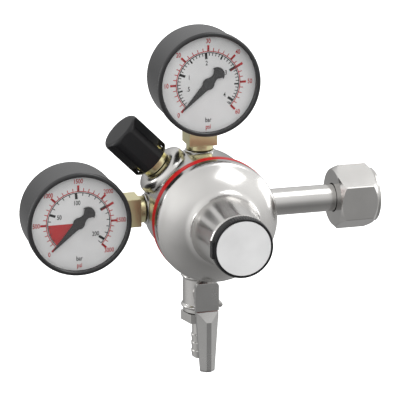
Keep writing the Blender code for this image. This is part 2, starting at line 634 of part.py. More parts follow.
def union_nut():
    back = INLET_REACH - NUT_BACK
    front = INLET_REACH + NUT_FRONT
    corner = NUT_FLATS / math.sqrt(3)
    hex_front = INLET_REACH + NUT_HEX_FRONT
    lip = hex_front + corner - NUT_LIP_RADIUS
    bore = STEM_RADIUS + 0.5
    outline = [(bore, back), (NUT_FACE_RADIUS, back), (corner, back + NUT_BACK_CHAMFER),
               (corner, hex_front), (NUT_LIP_RADIUS, lip), (NUT_LIP_RADIUS, front),
               (NUT_THREAD_RADIUS + 0.7, front), (NUT_THREAD_RADIUS, front - 0.7),
               (NUT_THREAD_RADIUS, back + NUT_BACK_WALL), (bore, back + NUT_BACK_WALL)]
    nut = make('inlet_nut', turned(outline, LARGE), inlet_port, nickel)
    trim(nut, hexagon(NUT_FLATS, back - OVERRUN, front + OVERRUN), shifted(inlet_port, turn=90))


# ---------------------------------------------------------------- relief valve

def relief_valve():
    """Screwed brass body with a poppet, spring and adjuster under a vented cap."""
    base = RELIEF_BOSS_TOP + GAP
    collar = base + RELIEF_COLLAR_LENGTH
    flange = collar + RELIEF_FLANGE_LENGTH
    top = flange + RELIEF_TUBE_LENGTH
    seat = base
    foot = base - STUB_LENGTH
    profile = [(RELIEF_HOLE, foot), (SOCKET_THREAD_RADIUS, foot), (SOCKET_THREAD_RADIUS, base),
               (RELIEF_COLLAR_RADIUS, base), (RELIEF_COLLAR_RADIUS, collar),
               (RELIEF_FLANGE_RADIUS, collar), (RELIEF_FLANGE_RADIUS, flange),
               (RELIEF_TUBE_RADIUS, flange), (RELIEF_TUBE_RADIUS, top), (RELIEF_BORE, top),
               (RELIEF_BORE, seat), (RELIEF_HOLE, seat)]
    make('relief_body', turned(profile, MEDIUM), relief_port, brass)
    poppet_top = seat + GAP + RELIEF_POPPET_LENGTH
    adjuster_back = top - RELIEF_ADJUSTER_LENGTH
    stem_top = adjuster_back + RELIEF_ADJUSTER_LENGTH / 2
    poppet = [(0, seat + GAP), (RELIEF_BORE - 0.6, seat + GAP), (RELIEF_BORE - 0.6, poppet_top),
              (RELIEF_STEM_RADIUS, poppet_top), (RELIEF_STEM_RADIUS, stem_top), (0, stem_top)]
    make('relief_poppet', turned(poppet, SMALL), relief_port, steel)
    coil('relief_spring', relief_port, (RELIEF_BORE + RELIEF_STEM_RADIUS) / 2, RELIEF_WIRE_RADIUS,
         poppet_top + GAP, adjuster_back - GAP, 5, steel)
    make('relief_adjuster', ring(RELIEF_STEM_RADIUS + GAP, RELIEF_BORE - GAP, adjuster_back, top, SMALL),
         relief_port, brass)
    relief_cap(collar)


def relief_cap(bottom):
    skirt = RELIEF_FLANGE_RADIUS + GAP
    bore = RELIEF_TUBE_RADIUS + GAP
    step = bottom + RELIEF_FLANGE_LENGTH + GAP
    top = bottom + RELIEF_CAP_LENGTH
    crown = arc((RELIEF_CAP_CORNER - 2.2, top - 2.2), 2.2, 0, 75, 4)
    outline = [(skirt, bottom + GAP), (RELIEF_CAP_CORNER - 0.5, bottom + GAP),
               (RELIEF_CAP_CORNER, bottom + GAP + 0.5), *crown, (0, top),
               (0, top - RELIEF_CAP_TOP), (bore, top - RELIEF_CAP_TOP), (bore, step), (skirt, step)]
    cap = make('relief_cap', turned_shell(outline, LARGE), relief_port, black)
    trim(cap, hexagon(RELIEF_CAP_FLATS, bottom - OVERRUN, top + OVERRUN), relief_port)
    for angle in (-60, 60):
        window = block((-RELIEF_WINDOW_WIDTH / 2, RELIEF_WINDOW_WIDTH / 2),
                       (bore, RELIEF_CAP_CORNER + OVERRUN),
                       (bottom + GAP + 0.8, bottom + GAP + 0.8 + RELIEF_WINDOW_HEIGHT))
        cut(cap, window, shifted(relief_port, turn=angle))


def turned_shell(outline, steps):
    """A cup: its profile touches the axis at two neighbouring points."""
    inside = next(i for i, point in enumerate(outline) if point[0] == 0) + 1
    return turned(outline[inside:] + outline[:inside], steps)


# ---------------------------------------------------------------- shut-off valve

def shutoff_valve():
    rim_end = VALVE_TOP + VALVE_RIM_LENGTH
    low_rim = rim_end + VALVE_SPAN
    low_rim_end = low_rim + VALVE_RIM_LENGTH
    base = BOSS_TOP + GAP
    profile = [(VALVE_PASSAGE, base - STUB_LENGTH), (SOCKET_THREAD_RADIUS, base - STUB_LENGTH),
               (SOCKET_THREAD_RADIUS, base), (VALVE_NECK_RADIUS, base), (VALVE_NECK_RADIUS, VALVE_TOP),
               (VALVE_RIM_RADIUS - 0.5, VALVE_TOP), (VALVE_RIM_RADIUS, VALVE_TOP + 0.6),
               (VALVE_RIM_RADIUS, rim_end - 0.6), (VALVE_RADIUS, rim_end), (VALVE_RADIUS, low_rim),
               (VALVE_RIM_RADIUS, low_rim + 0.6), (VALVE_RIM_RADIUS, low_rim_end - 0.6),
               (VALVE_SKIRT_RADIUS, low_rim_end), (VALVE_SKIRT_RADIUS, VALVE_END),
               (VALVE_CHAMBER_RADIUS, VALVE_END), (VALVE_CHAMBER_RADIUS, VALVE_BORE_TOP),
               (VALVE_PASSAGE, VALVE_BORE_TOP)]
    shell = make('outlet_valve_body', turned(profile, MEDIUM), bottom_port, nickel)
    fuse(shell, rod(STEM_BOSS_RADIUS, VALVE_CHAMBER_RADIUS + 0.9, STEM_BOSS_FRONT, SMALL),
         shifted(lever_axis, turn=SKEW))
    cut(shell, rod(VALVE_STEM_COLLAR + GAP, 0, STEM_BOSS_FRONT + OVERRUN, SMALL),
        shifted(lever_axis, turn=BORE_SKEW))
    angle = math.radians(STOP_ANGLE)
    stop = shifted(lever_axis, x=STOP_OFFSET * math.cos(angle), y=STOP_OFFSET * math.sin(angle))
    fuse(shell, rod(STOP_RADIUS, 3.0, LEVER_BACK - GAP, TINY), stop)
    ball_and_seats()
    valve_stem()
    hose_barb()


def ball_and_seats():
    shape = bmesh.new()
    bmesh.ops.create_uvsphere(shape, u_segments=24, v_segments=14, radius=BALL_RADIUS)
    ball = make('valve_ball', shape, lever_axis, steel)
    across = shifted(bottom_port, z=VALVE_CENTRE)
    cut(ball, rod(VALVE_PASSAGE, -BALL_RADIUS - OVERRUN, BALL_RADIUS + OVERRUN, TINY), across)
    floor = BALL_RADIUS - TONGUE_DEPTH - GAP
    half_width = TONGUE_WIDTH / 2 + GAP
    slot = block((-BALL_RADIUS, BALL_RADIUS), (-half_width, half_width), (floor, BALL_RADIUS + OVERRUN))
    cut(ball, slot, lever_axis)
    cap_height = math.sqrt(BALL_RADIUS ** 2 - SEAT_RADIUS ** 2) + GAP
    for name, low, high in (('upper_ball_seat', VALVE_BORE_TOP + GAP, VALVE_CENTRE - cap_height),
                            ('lower_ball_seat', VALVE_CENTRE + cap_height,
                             VALVE_END - BARB_PLUG_LENGTH)):
        make(name, ring(SEAT_RADIUS, VALVE_CHAMBER_RADIUS - GAP, low, high, SMALL), bottom_port, seal)


def valve_stem():
    collar_back = VALVE_CHAMBER_RADIUS + 0.2
    collar_front = collar_back + 0.8
    tip = LEVER_FRONT - 1.3
    tongue_back = BALL_RADIUS - TONGUE_DEPTH
    profile = [(0, BALL_RADIUS + GAP), (VALVE_STEM_COLLAR, BALL_RADIUS + GAP),
               (VALVE_STEM_COLLAR, collar_front), (VALVE_STEM_RADIUS, collar_front),
               (VALVE_STEM_RADIUS, tip), (0, tip)]
    stem = make('valve_stem', turned(profile, SMALL), lever_axis, steel)
    tongue = block((-TONGUE_LENGTH / 2, TONGUE_LENGTH / 2), (-TONGUE_WIDTH / 2, TONGUE_WIDTH / 2),
                   (tongue_back, BALL_RADIUS + GAP + 0.5))
    fuse(stem, tongue, lever_axis)
    make('stem_seal', ring(VALVE_STEM_RADIUS + GAP, VALVE_STEM_COLLAR, collar_front + GAP,
                           STEM_BOSS_FRONT - 0.5, SMALL), lever_axis, rubber)


def hose_barb():
    plug = VALVE_END + GAP
    hex_end = plug + BARB_HEX_LENGTH
    neck_end = hex_end + BARB_NECK_LENGTH
    plug_radius = VALVE_CHAMBER_RADIUS - GAP
    barbs = []
    for i in range(BARB_COUNT):
        low = neck_end + i * BARB_PITCH
        barbs += [(BARB_NECK_RADIUS, low), (BARB_RADIUS, low + 0.2), (BARB_NECK_RADIUS, low + BARB_PITCH)]
    end = barbs[-1][1]
    barbs = barbs[:-1] + [(BARB_NECK_RADIUS, end - 0.6), (BARB_BORE + 0.9, end), (BARB_BORE, end)]
    groove = plug_radius - 1.1
    groove_top = plug - BARB_PLUG_LENGTH + 0.8
    hexagon_radius = BARB_FLATS / math.sqrt(3)
    profile = [(BARB_BORE, plug - BARB_PLUG_LENGTH), (plug_radius, plug - BARB_PLUG_LENGTH),
               (plug_radius, groove_top), (groove, groove_top), (groove, groove_top + 1.6),
               (plug_radius, groove_top + 1.6), (plug_radius, plug), (BARB_FLATS / 2 - 0.2, plug),
               (hexagon_radius, plug + 0.8), (hexagon_radius, hex_end), (BARB_NECK_RADIUS, hex_end)]
    barb = make('hose_barb', turned(profile + barbs, SMALL), bottom_port, nickel)
    # The envelope narrows to a hexagon between the plug and the barbs only.
    outline = [(x, y) for x, y in arc((0, 0), hexagon_radius, 0, 300, 5)]
    trim(barb, prism(outline, plug - BARB_PLUG_LENGTH - OVERRUN, end + OVERRUN),
         shifted(bottom_port, turn=BARB_TURN))
    make('barb_seal', ring(groove + 0.2, plug_radius - 0.05, groove_top + 0.2, groove_top + 1.4, SMALL),
         bottom_port, rubber)


def lever():
    """A flat plate over the stem with a tapering ridged handle below its bend."""
    half = LEVER_WIDTH / 2
    corner = half - LEVER_CORNER
    top = LEVER_ABOVE - LEVER_CORNER
    outline = [*arc((corner, top), LEVER_CORNER, 0, 90, 4), *arc((-corner, top), LEVER_CORNER, 90, 180, 4),
               (-half, -LEVER_BELOW), (half, -LEVER_BELOW)]
    plate = make('outlet_lever', prism(outline, LEVER_BACK, LEVER_FRONT), lever_axis, satin)
    fuse(plate, handle_shape(), lever_axis)
    hub_back = LEVER_BACK - 0.7
    fuse(plate, rod(LEVER_HUB_RADIUS, hub_back, LEVER_BACK + OVERRUN, SMALL), lever_axis)
    tab = block((0, STOP_OFFSET - 0.4), (-TAB_WIDTH / 2, TAB_WIDTH / 2), (hub_back, LEVER_BACK + 0.5))
    fuse(plate, tab, shifted(lever_axis, turn=TAB_ANGLE))
    cut(plate, rod(VALVE_STEM_RADIUS + GAP, hub_back - OVERRUN, LEVER_FRONT - 1.0, SMALL), lever_axis)


def handle_shape():
    """Sections of the handle from its bend to its tip; each is a plate with a ridge on it."""
    sections = []
    bend = -LEVER_BELOW + 0.01
    face = LEVER_FRONT + LEVER_LEDGE
    length = LEVER_LENGTH - LEVER_BELOW
    stations = ((0.0, 0.02), (RIDGE_START / length, 1.0), (0.96, 1.0), (1.0, 0.8))
    for share, rise in stations:
        y = bend - length * share
        half = (LEVER_TOP_WIDTH + (LEVER_TIP_WIDTH - LEVER_TOP_WIDTH) * share) / 2
        ridge = RIDGE_WIDTH / 2 if rise > 0.5 else half - 0.6
        crest = face + RIDGE_HEIGHT * rise
        back = LEVER_BACK + (face - LEVER_TIP_PLATE - LEVER_BACK) * share
        sections.append([(-half, y, back), (half, y, back), (half, y, face),
                         (ridge, y, crest), (-ridge, y, crest), (-half, y, face)])
    return bridged(sections)


# ---------------------------------------------------------------- gauges

def gauge(prefix, port, boss_top):
    """One Bourdon gauge: port is its port's place, with Z away from the body."""
    screwed = shifted(port, z=boss_top)
    centre = shifted(port, z=boss_top + GAUGE_OFFSET).translation
    dial_axis = Matrix.Translation(centre) @ knob_axis.to_3x3().to_4x4()
    away = port.to_3x3() @ Vector((0, 0, 1))
    inner = place(centre / MM, FRONT, away)
    gauge_socket(prefix, screwed)
    gauge_case(prefix, dial_axis, screwed)
    dial_and_pointer(prefix, dial_axis)
    movement(prefix, inner)
    bourdon_tube(prefix, inner)


def gauge_socket(prefix, screwed):
    neck_end = GAP + SOCKET_NECK_LENGTH
    inner_wall = GAUGE_OFFSET - GAUGE_BORE
    end = GAUGE_OFFSET - INNER_BLOCK_END
    half = SOCKET_FLATS / 2
    inner_half = INNER_BLOCK / 2
    profile = [(SOCKET_BORE, GAP - STUB_LENGTH), (SOCKET_THREAD_RADIUS, GAP - STUB_LENGTH),
               (SOCKET_THREAD_RADIUS, GAP), (SOCKET_NECK_RADIUS, GAP), (SOCKET_NECK_RADIUS, neck_end + 0.5),
               (SOCKET_THREAD_RADIUS, neck_end + 0.5), (SOCKET_THREAD_RADIUS, inner_wall + 2.0),
               (SOCKET_BORE, inner_wall + 2.0)]
    socket = make(prefix + '_socket', turned(profile, SMALL), screwed, brass)
    outer = block((-half, half), (-half, half), (neck_end, SOCKET_TOP))
    fuse(socket, outer, screwed)
    across = (-inner_half, inner_half)
    fuse(socket, block(across, across, (inner_wall + 1.1, end)), screwed)
    cut(socket, rod(SOCKET_BORE - 0.2, neck_end - 0.5, end - 3.0, TINY), screwed)


def gauge_case(prefix, dial_axis, screwed):
    edge = arc((GAUGE_RADIUS - GAUGE_EDGE, GAUGE_BACK + GAUGE_EDGE), GAUGE_EDGE, -90, 0, 5)
    bezel_back = GAUGE_FRONT - BEZEL_LENGTH
    floor = GAUGE_BACK + GAUGE_WALL
    profile = [(0, GAUGE_BACK), *edge, (GAUGE_RADIUS, bezel_back), (BEZEL_RADIUS, bezel_back + 0.6),
               (BEZEL_RADIUS, GAUGE_FRONT - 0.6), (BEZEL_RADIUS - 0.6, GAUGE_FRONT),
               (GAUGE_BORE, GAUGE_FRONT), (GAUGE_BORE, floor + GAUGE_EDGE),
               (GAUGE_BORE - GAUGE_EDGE + 1.0, floor), (0, floor)]
    case = make(prefix + '_case', turned(profile, LARGE), dial_axis, black)
    inner_wall = GAUGE_OFFSET - GAUGE_BORE
    hole = rod(SOCKET_THREAD_RADIUS + GAP, SOCKET_TOP + GAP - OVERRUN, inner_wall + 2.0, SMALL)
    cut(case, hole, screwed)
    window_front = GAUGE_FRONT - WINDOW_RECESS
    make(prefix + '_window', rod(GAUGE_BORE - GAP, window_front - WINDOW_THICKNESS, window_front, LARGE),
         dial_axis, clear)


def dial_and_pointer(prefix, dial_axis):
    dial_front = DIAL_BACK + DIAL_THICKNESS
    make(prefix + '_dial', ring(ARBOR_RADIUS + GAP, GAUGE_BORE - GAP, DIAL_BACK, dial_front, LARGE),
         dial_axis, white)
    # Drawn pointing up, then turned to the scale's zero at the lower left.
    hub_radius = 2.7
    right = [(0, POINTER_LENGTH), (1.7, 3.4), *arc((0, 0), hub_radius, 40, -40, 4), (1.3, -3.6), (1.5, -4.6),
             (3.1, -6.9), (2.9, -8.6), (1.5, -POINTER_TAIL + 0.3), (0, -POINTER_TAIL)]
    left = [(-x, y) for x, y in reversed(right[1:-1])]
    low = DIAL_BACK + DIAL_THICKNESS + 0.4
    pointer = make(prefix + '_pointer', prism(right + left, low, low + POINTER_THICKNESS),
                   shifted(dial_axis, turn=135), black)
    cut(pointer, rod(ARBOR_RADIUS + GAP, low - OVERRUN, low + POINTER_THICKNESS - 0.15, TINY), dial_axis)


def movement(prefix, inner):
    """Arbor and pinion, toothless sector, link and the two-plate frame that holds them."""
    pinion_back = SECTOR_BACK - 0.1
    pinion_front = SECTOR_BACK + SECTOR_THICKNESS + 0.1
    pointer_back = DIAL_BACK + DIAL_THICKNESS + 0.4
    arbor_end = pointer_back + POINTER_THICKNESS - 0.15 - 0.2
    arbor = [(0, MOVEMENT_BACK + 0.2), (ARBOR_RADIUS, MOVEMENT_BACK + 0.2), (ARBOR_RADIUS, pinion_back),
             (PINION_RADIUS, pinion_back), (PINION_RADIUS, pinion_front), (ARBOR_RADIUS, pinion_front),
             (ARBOR_RADIUS, arbor_end), (0, arbor_end)]
    make(prefix + '_arbor', turned(arbor, TINY), inner, brass)
    pivot = shifted(inner, *SECTOR_PIVOT)
    to_centre = math.degrees(math.atan2(-SECTOR_PIVOT[1], -SECTOR_PIVOT[0]))
    reach = math.hypot(*SECTOR_PIVOT) - PINION_RADIUS - GAP
    first = to_centre - SECTOR_SWEEP - SECTOR_MARGIN
    tail_angle = math.radians(to_centre + 180)
    tail = (SECTOR_TAIL * math.cos(tail_angle), SECTOR_TAIL * math.sin(tail_angle))
    outline = sector_outline(reach, first, to_centre + SECTOR_MARGIN)
    sector_front = SECTOR_BACK + SECTOR_THICKNESS
    sector = make(prefix + '_sector', prism(outline, SECTOR_BACK, sector_front), pivot, brass)
    arm = block((0, SECTOR_TAIL + 1.0), (-1.0, 1.0), (SECTOR_BACK, sector_front))
    fuse(sector, arm, shifted(pivot, turn=to_centre + 180))
    front_face = MOVEMENT_BACK + MOVEMENT_DEPTH
    fuse(sector, rod(ARBOR_RADIUS, MOVEMENT_BACK + 0.2, front_face - 0.2, TINY), pivot)
    link_back = sector_front + 0.4
    link_front = link_back + 0.6
    pin_place = shifted(pivot, *tail)
    fuse(sector, rod(0.5, SECTOR_BACK + 0.3, link_front, TINY), pin_place)
    gauge_link(prefix, inner, pivot, pin_place, tail, (link_back, link_front))
    movement_frame(prefix, inner)


def sector_outline(reach, first, last):
    """A toothed wedge's pitch outline: an arc, closed round the pivot's boss."""
    rim = arc((0, 0), reach, first, last, 8)
    boss = arc((0, 0), 2.0, last + 60, first + 360 - 60, 4)
    return rim + boss


def gauge_link(prefix, inner, pivot, pin_place, tail, heights):
    tip_angle = math.radians(TUBE_TIP_ANGLE)
    tip = Vector((TUBE_RADIUS * math.cos(tip_angle), TUBE_RADIUS * math.sin(tip_angle)))
    pin = Vector(SECTOR_PIVOT) + Vector(tail)
    run = tip - pin
    outline = [*arc((0, 0), 1.1, 90, 270, 5), *arc((run.length, 0), 1.1, -90, 90, 5)]
    turn = math.degrees(math.atan2(run.y, run.x))
    link = make(prefix + '_link', prism(outline, *heights), shifted(pin_place, turn=turn), steel)
    cut(link, rod(0.8, heights[0] - OVERRUN, heights[1] + OVERRUN, TINY), pin_place)


def movement_frame(prefix, inner):
    top = MOVEMENT_BACK + MOVEMENT_DEPTH
    width = (-8.6, 8.6)
    length = (SECTOR_PIVOT[1] - 3.0, 3.6)
    frame = make(prefix + '_movement_frame',
                 block(width, length, (MOVEMENT_BACK, MOVEMENT_BACK + MOVEMENT_PLATE)), inner, brass)
    fuse(frame, block(width, length, (top - MOVEMENT_PLATE, top)), inner)
    for x, y in ((-7.2, 2.2), (7.2, 2.2), (-7.2, length[0] + 1.4)):
        fuse(frame, rod(0.9, MOVEMENT_BACK + 0.5, top - 0.5, TINY), shifted(inner, x=x, y=y))
    for where in (inner, shifted(inner, *SECTOR_PIVOT)):
        cut(frame, rod(ARBOR_RADIUS + GAP, MOVEMENT_BACK - OVERRUN, top + OVERRUN, TINY), where)


def bourdon_tube(prefix, inner):
    """A flattened tube bent round the movement, from the inner block to its free tip."""
    start = -90 - math.degrees(math.asin((INNER_BLOCK / 2 + GAP + TUBE_DEPTH / 2) / TUBE_RADIUS))
    end = TUBE_TIP_ANGLE - 360
    oval = [(TUBE_DEPTH / 2 * math.cos(a), TUBE_WIDTH / 2 * math.sin(a))
            for a in (math.radians(45 * i + 22.5) for i in range(8))]
    sections = []
    count = 30
    for i in range(count + 1):
        angle = math.radians(start + (end - start) * i / count)
        sections.append([((TUBE_RADIUS + out) * math.cos(angle), (TUBE_RADIUS + out) * math.sin(angle), up)
                         for out, up in oval])
    tube = make(prefix + '_bourdon_tube', bridged(sections), inner, bronze)
    lug = shifted(inner, x=TUBE_RADIUS * math.cos(math.radians(end)),
                  y=TUBE_RADIUS * math.sin(math.radians(end)))
    fuse(tube, rod(1.1, 0, SECTOR_BACK + SECTOR_THICKNESS, TINY), lug)


# ---------------------------------------------------------------- scene

for old in list(bpy.data.objects):
    bpy.data.objects.remove(old, do_unlink=True)

hub = bpy.data.objects.new('hub', None)
hub.location = (-INLET_REACH * MM, 0, 0)
bpy.context.collection.objects.link(hub)

nickel = metal('satin nickel', (0.56, 0.55, 0.53), 0.30)
satin = metal('satin steel', (0.40, 0.40, 0.39), 0.36)
steel = metal('spring steel', (0.50, 0.50, 0.52), 0.35)
brass = metal('brass', (0.70, 0.58, 0.30), 0.32)
bronze = metal('phosphor bronze', (0.55, 0.33, 0.18), 0.40)
black = plastic('black plastic', (0.02, 0.02, 0.022), 0.35)
white = plastic('white', (0.80, 0.80, 0.80), 0.40)
red = plastic('red', (0.70, 0.01, 0.01), 0.35)
rubber = plastic('rubber', (0.03, 0.03, 0.03), 0.70)
seal = plastic('seal plastic', (0.85, 0.85, 0.82), 0.50)
fibre = plastic('washer fibre', (0.72, 0.70, 0.62), 0.70)
clear = plastic('clear window', (0.90, 0.92, 0.92), 0.05)

ports_centre = Vector((0, PORT_SETBACK, 0))
lean = math.radians(RELIEF_LEAN)
knob_axis = place((0, 0, 0), FRONT, UP)
inlet_port = place((0, 0, 0), RIGHT, UP)
left_port = place(ports_centre, -RIGHT, FRONT)
top_port = place(ports_centre, UP, FRONT)
bottom_port = place(ports_centre, -UP, FRONT)
relief_port = place(ports_centre, (-math.sin(lean), 0, math.cos(lean)), FRONT)
lever_axis = place((0, PORT_SETBACK, -VALVE_CENTRE), FRONT, UP)

valve_body()
clamp_ring()
bonnet()
diaphragm()
adjuster()
knob()
nozzle()
inlet()
relief_valve()
shutoff_valve()
lever()
gauge('outlet_gauge', top_port, BOSS_TOP)
gauge('cylinder_gauge', left_port, BOSS_TOP)
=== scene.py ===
"""Looks of a gas pressure regulator with two gauges, a relief valve and a shut-off valve."""
import json
import math

import bmesh
import bpy
from mathutils import Euler, Matrix, Vector


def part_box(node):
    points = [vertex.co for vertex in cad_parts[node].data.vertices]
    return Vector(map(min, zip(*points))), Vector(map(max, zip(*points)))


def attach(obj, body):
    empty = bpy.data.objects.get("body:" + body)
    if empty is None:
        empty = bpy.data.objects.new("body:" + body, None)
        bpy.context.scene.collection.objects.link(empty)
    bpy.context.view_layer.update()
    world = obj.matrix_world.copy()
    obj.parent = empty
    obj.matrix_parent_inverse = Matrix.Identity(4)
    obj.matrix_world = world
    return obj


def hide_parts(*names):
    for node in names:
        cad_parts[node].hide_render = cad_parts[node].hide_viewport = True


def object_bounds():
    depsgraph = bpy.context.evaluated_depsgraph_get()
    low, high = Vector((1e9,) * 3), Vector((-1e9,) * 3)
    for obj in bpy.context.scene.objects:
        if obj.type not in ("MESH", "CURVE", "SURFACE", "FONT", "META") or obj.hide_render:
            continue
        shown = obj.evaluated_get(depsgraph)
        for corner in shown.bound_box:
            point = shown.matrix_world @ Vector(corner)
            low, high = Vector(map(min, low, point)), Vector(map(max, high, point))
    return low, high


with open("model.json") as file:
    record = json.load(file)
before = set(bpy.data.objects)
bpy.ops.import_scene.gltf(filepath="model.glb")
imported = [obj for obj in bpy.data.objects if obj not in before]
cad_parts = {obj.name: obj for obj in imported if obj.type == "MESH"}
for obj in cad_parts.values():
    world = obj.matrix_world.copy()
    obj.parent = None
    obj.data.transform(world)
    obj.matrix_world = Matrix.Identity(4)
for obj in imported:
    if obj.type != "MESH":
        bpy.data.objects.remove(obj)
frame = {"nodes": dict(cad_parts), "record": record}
cad_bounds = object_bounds()


# ---------------------------------------------------------------- where the axes lie
# The drum, bonnet and knob share one axis, and the ports lie a little behind the inlet axis.
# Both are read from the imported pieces, so everything below follows them.

MM = 0.001
RIGHT = Vector((1, 0, 0))
FRONT = Vector((0, -1, 0))
UP = Vector((0, 0, 1))


def middle(node):
    low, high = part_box(node)
    return (low + high) / 2


def place(origin, towards, upright):
    """A matrix at origin whose Z points along towards, with Y as near upright as it can be."""
    z_axis = Vector(towards).normalized()
    x_axis = Vector(upright).cross(z_axis).normalized()
    turn = Matrix((x_axis, z_axis.cross(x_axis), z_axis)).transposed().to_4x4()
    return Matrix.Translation(origin) @ turn


ring_middle = middle('clamp_ring')
nut_middle = middle('inlet_nut')
hub = Vector((ring_middle.x, nut_middle.y, ring_middle.z))
ports = Vector((hub.x, middle('outlet_gauge_socket').y, hub.z))
LEANING = Vector((-1, 0, 1)).normalized()
knob_axis = place(hub, FRONT, UP)
inlet_axis = place(hub, RIGHT, UP)
top_axis = place(ports, UP, FRONT)
left_axis = place(ports, -RIGHT, FRONT)
bottom_axis = place(ports, -UP, FRONT)
relief_axis = place(ports, LEANING, FRONT)


# ---------------------------------------------------------------- studio
# A pale floor far below, so that the regulator hangs in even white light, with a large soft
# light overhead, one at each side, and a sky that is white behind and grey in front and below.

LENS = 188.2
SWING = 15.777
TILT = 16.4
DISTANCE = 1.017
SIDESTEP = -0.001481
RISE = 0.003735
FLOOR_DROP = 0.35
FLOOR_SIZE = 14.0
FLOOR_GLOW = 0.75
SKY_STRENGTH = 1.08
WING_GLOW = 0.50             # how much brighter the sky is at each side

camera_data = bpy.data.cameras.new('camera')
camera_data.sensor_width = 36
camera_data.lens = LENS
camera = bpy.data.objects.new('camera', camera_data)
bpy.context.scene.collection.objects.link(camera)
turn = Euler((math.radians(90 - TILT), 0, math.radians(-SWING))).to_matrix()
camera.location = hub + turn @ Vector((SIDESTEP, RISE, DISTANCE))
camera.rotation_euler = turn.to_euler()
bpy.context.scene.camera = camera
bpy.context.scene.view_settings.view_transform = 'Standard'


def softbox(name, offset, width, height, power):
    """A soft area light that faces the hub."""
    data = bpy.data.lights.new(name, 'AREA')
    data.shape = 'RECTANGLE'
    data.size = width
    data.size_y = height
    data.energy = power
    lamp = bpy.data.objects.new(name, data)
    bpy.context.scene.collection.objects.link(lamp)
    lamp.location = hub + Vector(offset)
    lamp.rotation_euler = (-Vector(offset)).to_track_quat('-Z', 'Y').to_euler()


softbox('overhead_light', (0.60, -0.30, 1.10), 0.8, 0.7, 5.5)
softbox('right_light', (1.25, 0.30, 0.20), 0.40, 0.55, 2.2)
softbox('left_light', (-1.15, 0.48, 0.12), 0.28, 0.80, 3.0)


class Socket:
    """A shader socket that takes part in Python arithmetic."""

    def __init__(self, finish, link):
        self.finish = finish
        self.link = link

    def maths(self, operation, first, second):
        return self.finish.node('ShaderNodeMath', {'operation': operation}, {0: first, 1: second})

    def __add__(self, other):
        return self.maths('ADD', self, other)

    def __mul__(self, other):
        return self.maths('MULTIPLY', self, other)

    def __sub__(self, other):
        return self.maths('SUBTRACT', self, other)

    def __rsub__(self, other):
        return self.maths('SUBTRACT', other, self)

    __radd__ = __add__
    __rmul__ = __mul__


class Finish:
    """A node tree, with one method that makes every node but its first ones."""

    def __init__(self, owner):
        self.owner = owner
        owner.use_nodes = True
        self.tree = owner.node_tree

    def node(self, kind, settings, inputs, output=0):
        item = self.tree.nodes.new(kind)
        for key, value in settings.items():
            setattr(item, key, value)
        self.feed(item, inputs)
        return Socket(self, item.outputs[output])

    def feed(self, item, inputs):
        for key, value in inputs.items():
            if isinstance(value, Socket):
                self.tree.links.new(value.link, item.inputs[key])
            else:
                item.inputs[key].default_value = value

    def ramp(self, factor, stops):
        """A colour ramp through (position, colour) stops."""
        item = self.tree.nodes.new('ShaderNodeValToRGB')
        elements = item.color_ramp.elements
        while len(elements) < len(stops):
            elements.new(0.5)
        for element, (position, colour) in zip(elements, stops):
            element.position = position
            element.color = (*colour, 1.0)
        self.feed(item, {0: factor})
        return Socket(self, item.outputs[0])


def greys(*stops):
    """Colour stops of plain grey from (position, shade) pairs."""
    return [(position, (shade,) * 3) for position, shade in stops]


sky = Finish(bpy.data.worlds.new('studio'))
bpy.context.scene.world = sky.owner
direction = sky.node('ShaderNodeTexCoord', {}, {}, 'Generated')
side = sky.node('ShaderNodeSeparateXYZ', {}, {0: direction}, 'X')
depth = sky.node('ShaderNodeSeparateXYZ', {}, {0: direction}, 'Y')
height = sky.node('ShaderNodeSeparateXYZ', {}, {0: direction}, 'Z')
level = height * 0.5 + 0.5
front_sky = sky.ramp(level, greys((0.0, 0.28), (0.18, 0.20), (0.36, 0.34),
                                  (0.445, 0.46), (0.575, 0.78), (0.75, 1.0)))
back_sky = sky.ramp(level, greys((0.0, 0.30), (0.30, 0.32), (0.45, 0.26),
                                 (0.55, 0.40), (0.64, 0.64), (0.75, 0.92)))
behind = sky.ramp(depth * 0.5 + 0.5, greys((0.42, 0.0), (0.66, 1.0)))
halves = sky.node('ShaderNodeMix', {'data_type': 'RGBA'}, {0: behind, 6: front_sky, 7: back_sky}, 2)
wings = sky.node('ShaderNodeMix', {'data_type': 'RGBA', 'blend_type': 'ADD'},
                 {0: side * side * WING_GLOW, 6: halves, 7: (1.0, 1.0, 1.0, 1.0)}, 2)
sky.feed(sky.tree.nodes['Background'], {'Color': wings, 'Strength': SKY_STRENGTH})

floor_shape = bmesh.new()
bmesh.ops.create_grid(floor_shape, x_segments=1, y_segments=1, size=FLOOR_SIZE / 2)
floor_height = cad_bounds[0][2] - FLOOR_DROP
bmesh.ops.translate(floor_shape, verts=floor_shape.verts, vec=(hub.x, hub.y, floor_height))
floor_mesh = bpy.data.meshes.new('floor')
floor_shape.to_mesh(floor_mesh)
floor_shape.free()
floor = bpy.data.objects.new('floor', floor_mesh)
bpy.context.scene.collection.objects.link(floor)
floor.visible_glossy = False
floor.visible_diffuse = False
paper = Finish(bpy.data.materials.new('white paper'))
paper.feed(paper.tree.nodes['Principled BSDF'],
           {'Base Color': (0.9, 0.9, 0.9, 1), 'Roughness': 1.0, 'Emission Color': (1, 1, 1, 1),
            'Emission Strength': FLOOR_GLOW})
floor_mesh.materials.append(paper.owner)


# ---------------------------------------------------------------- valve body
# The forged brass drum that everything screws into, satin nickel plated. Its rim is rounded at
# the back, and round bosses take the nipple, the gauges, the relief valve and the shut-off valve.

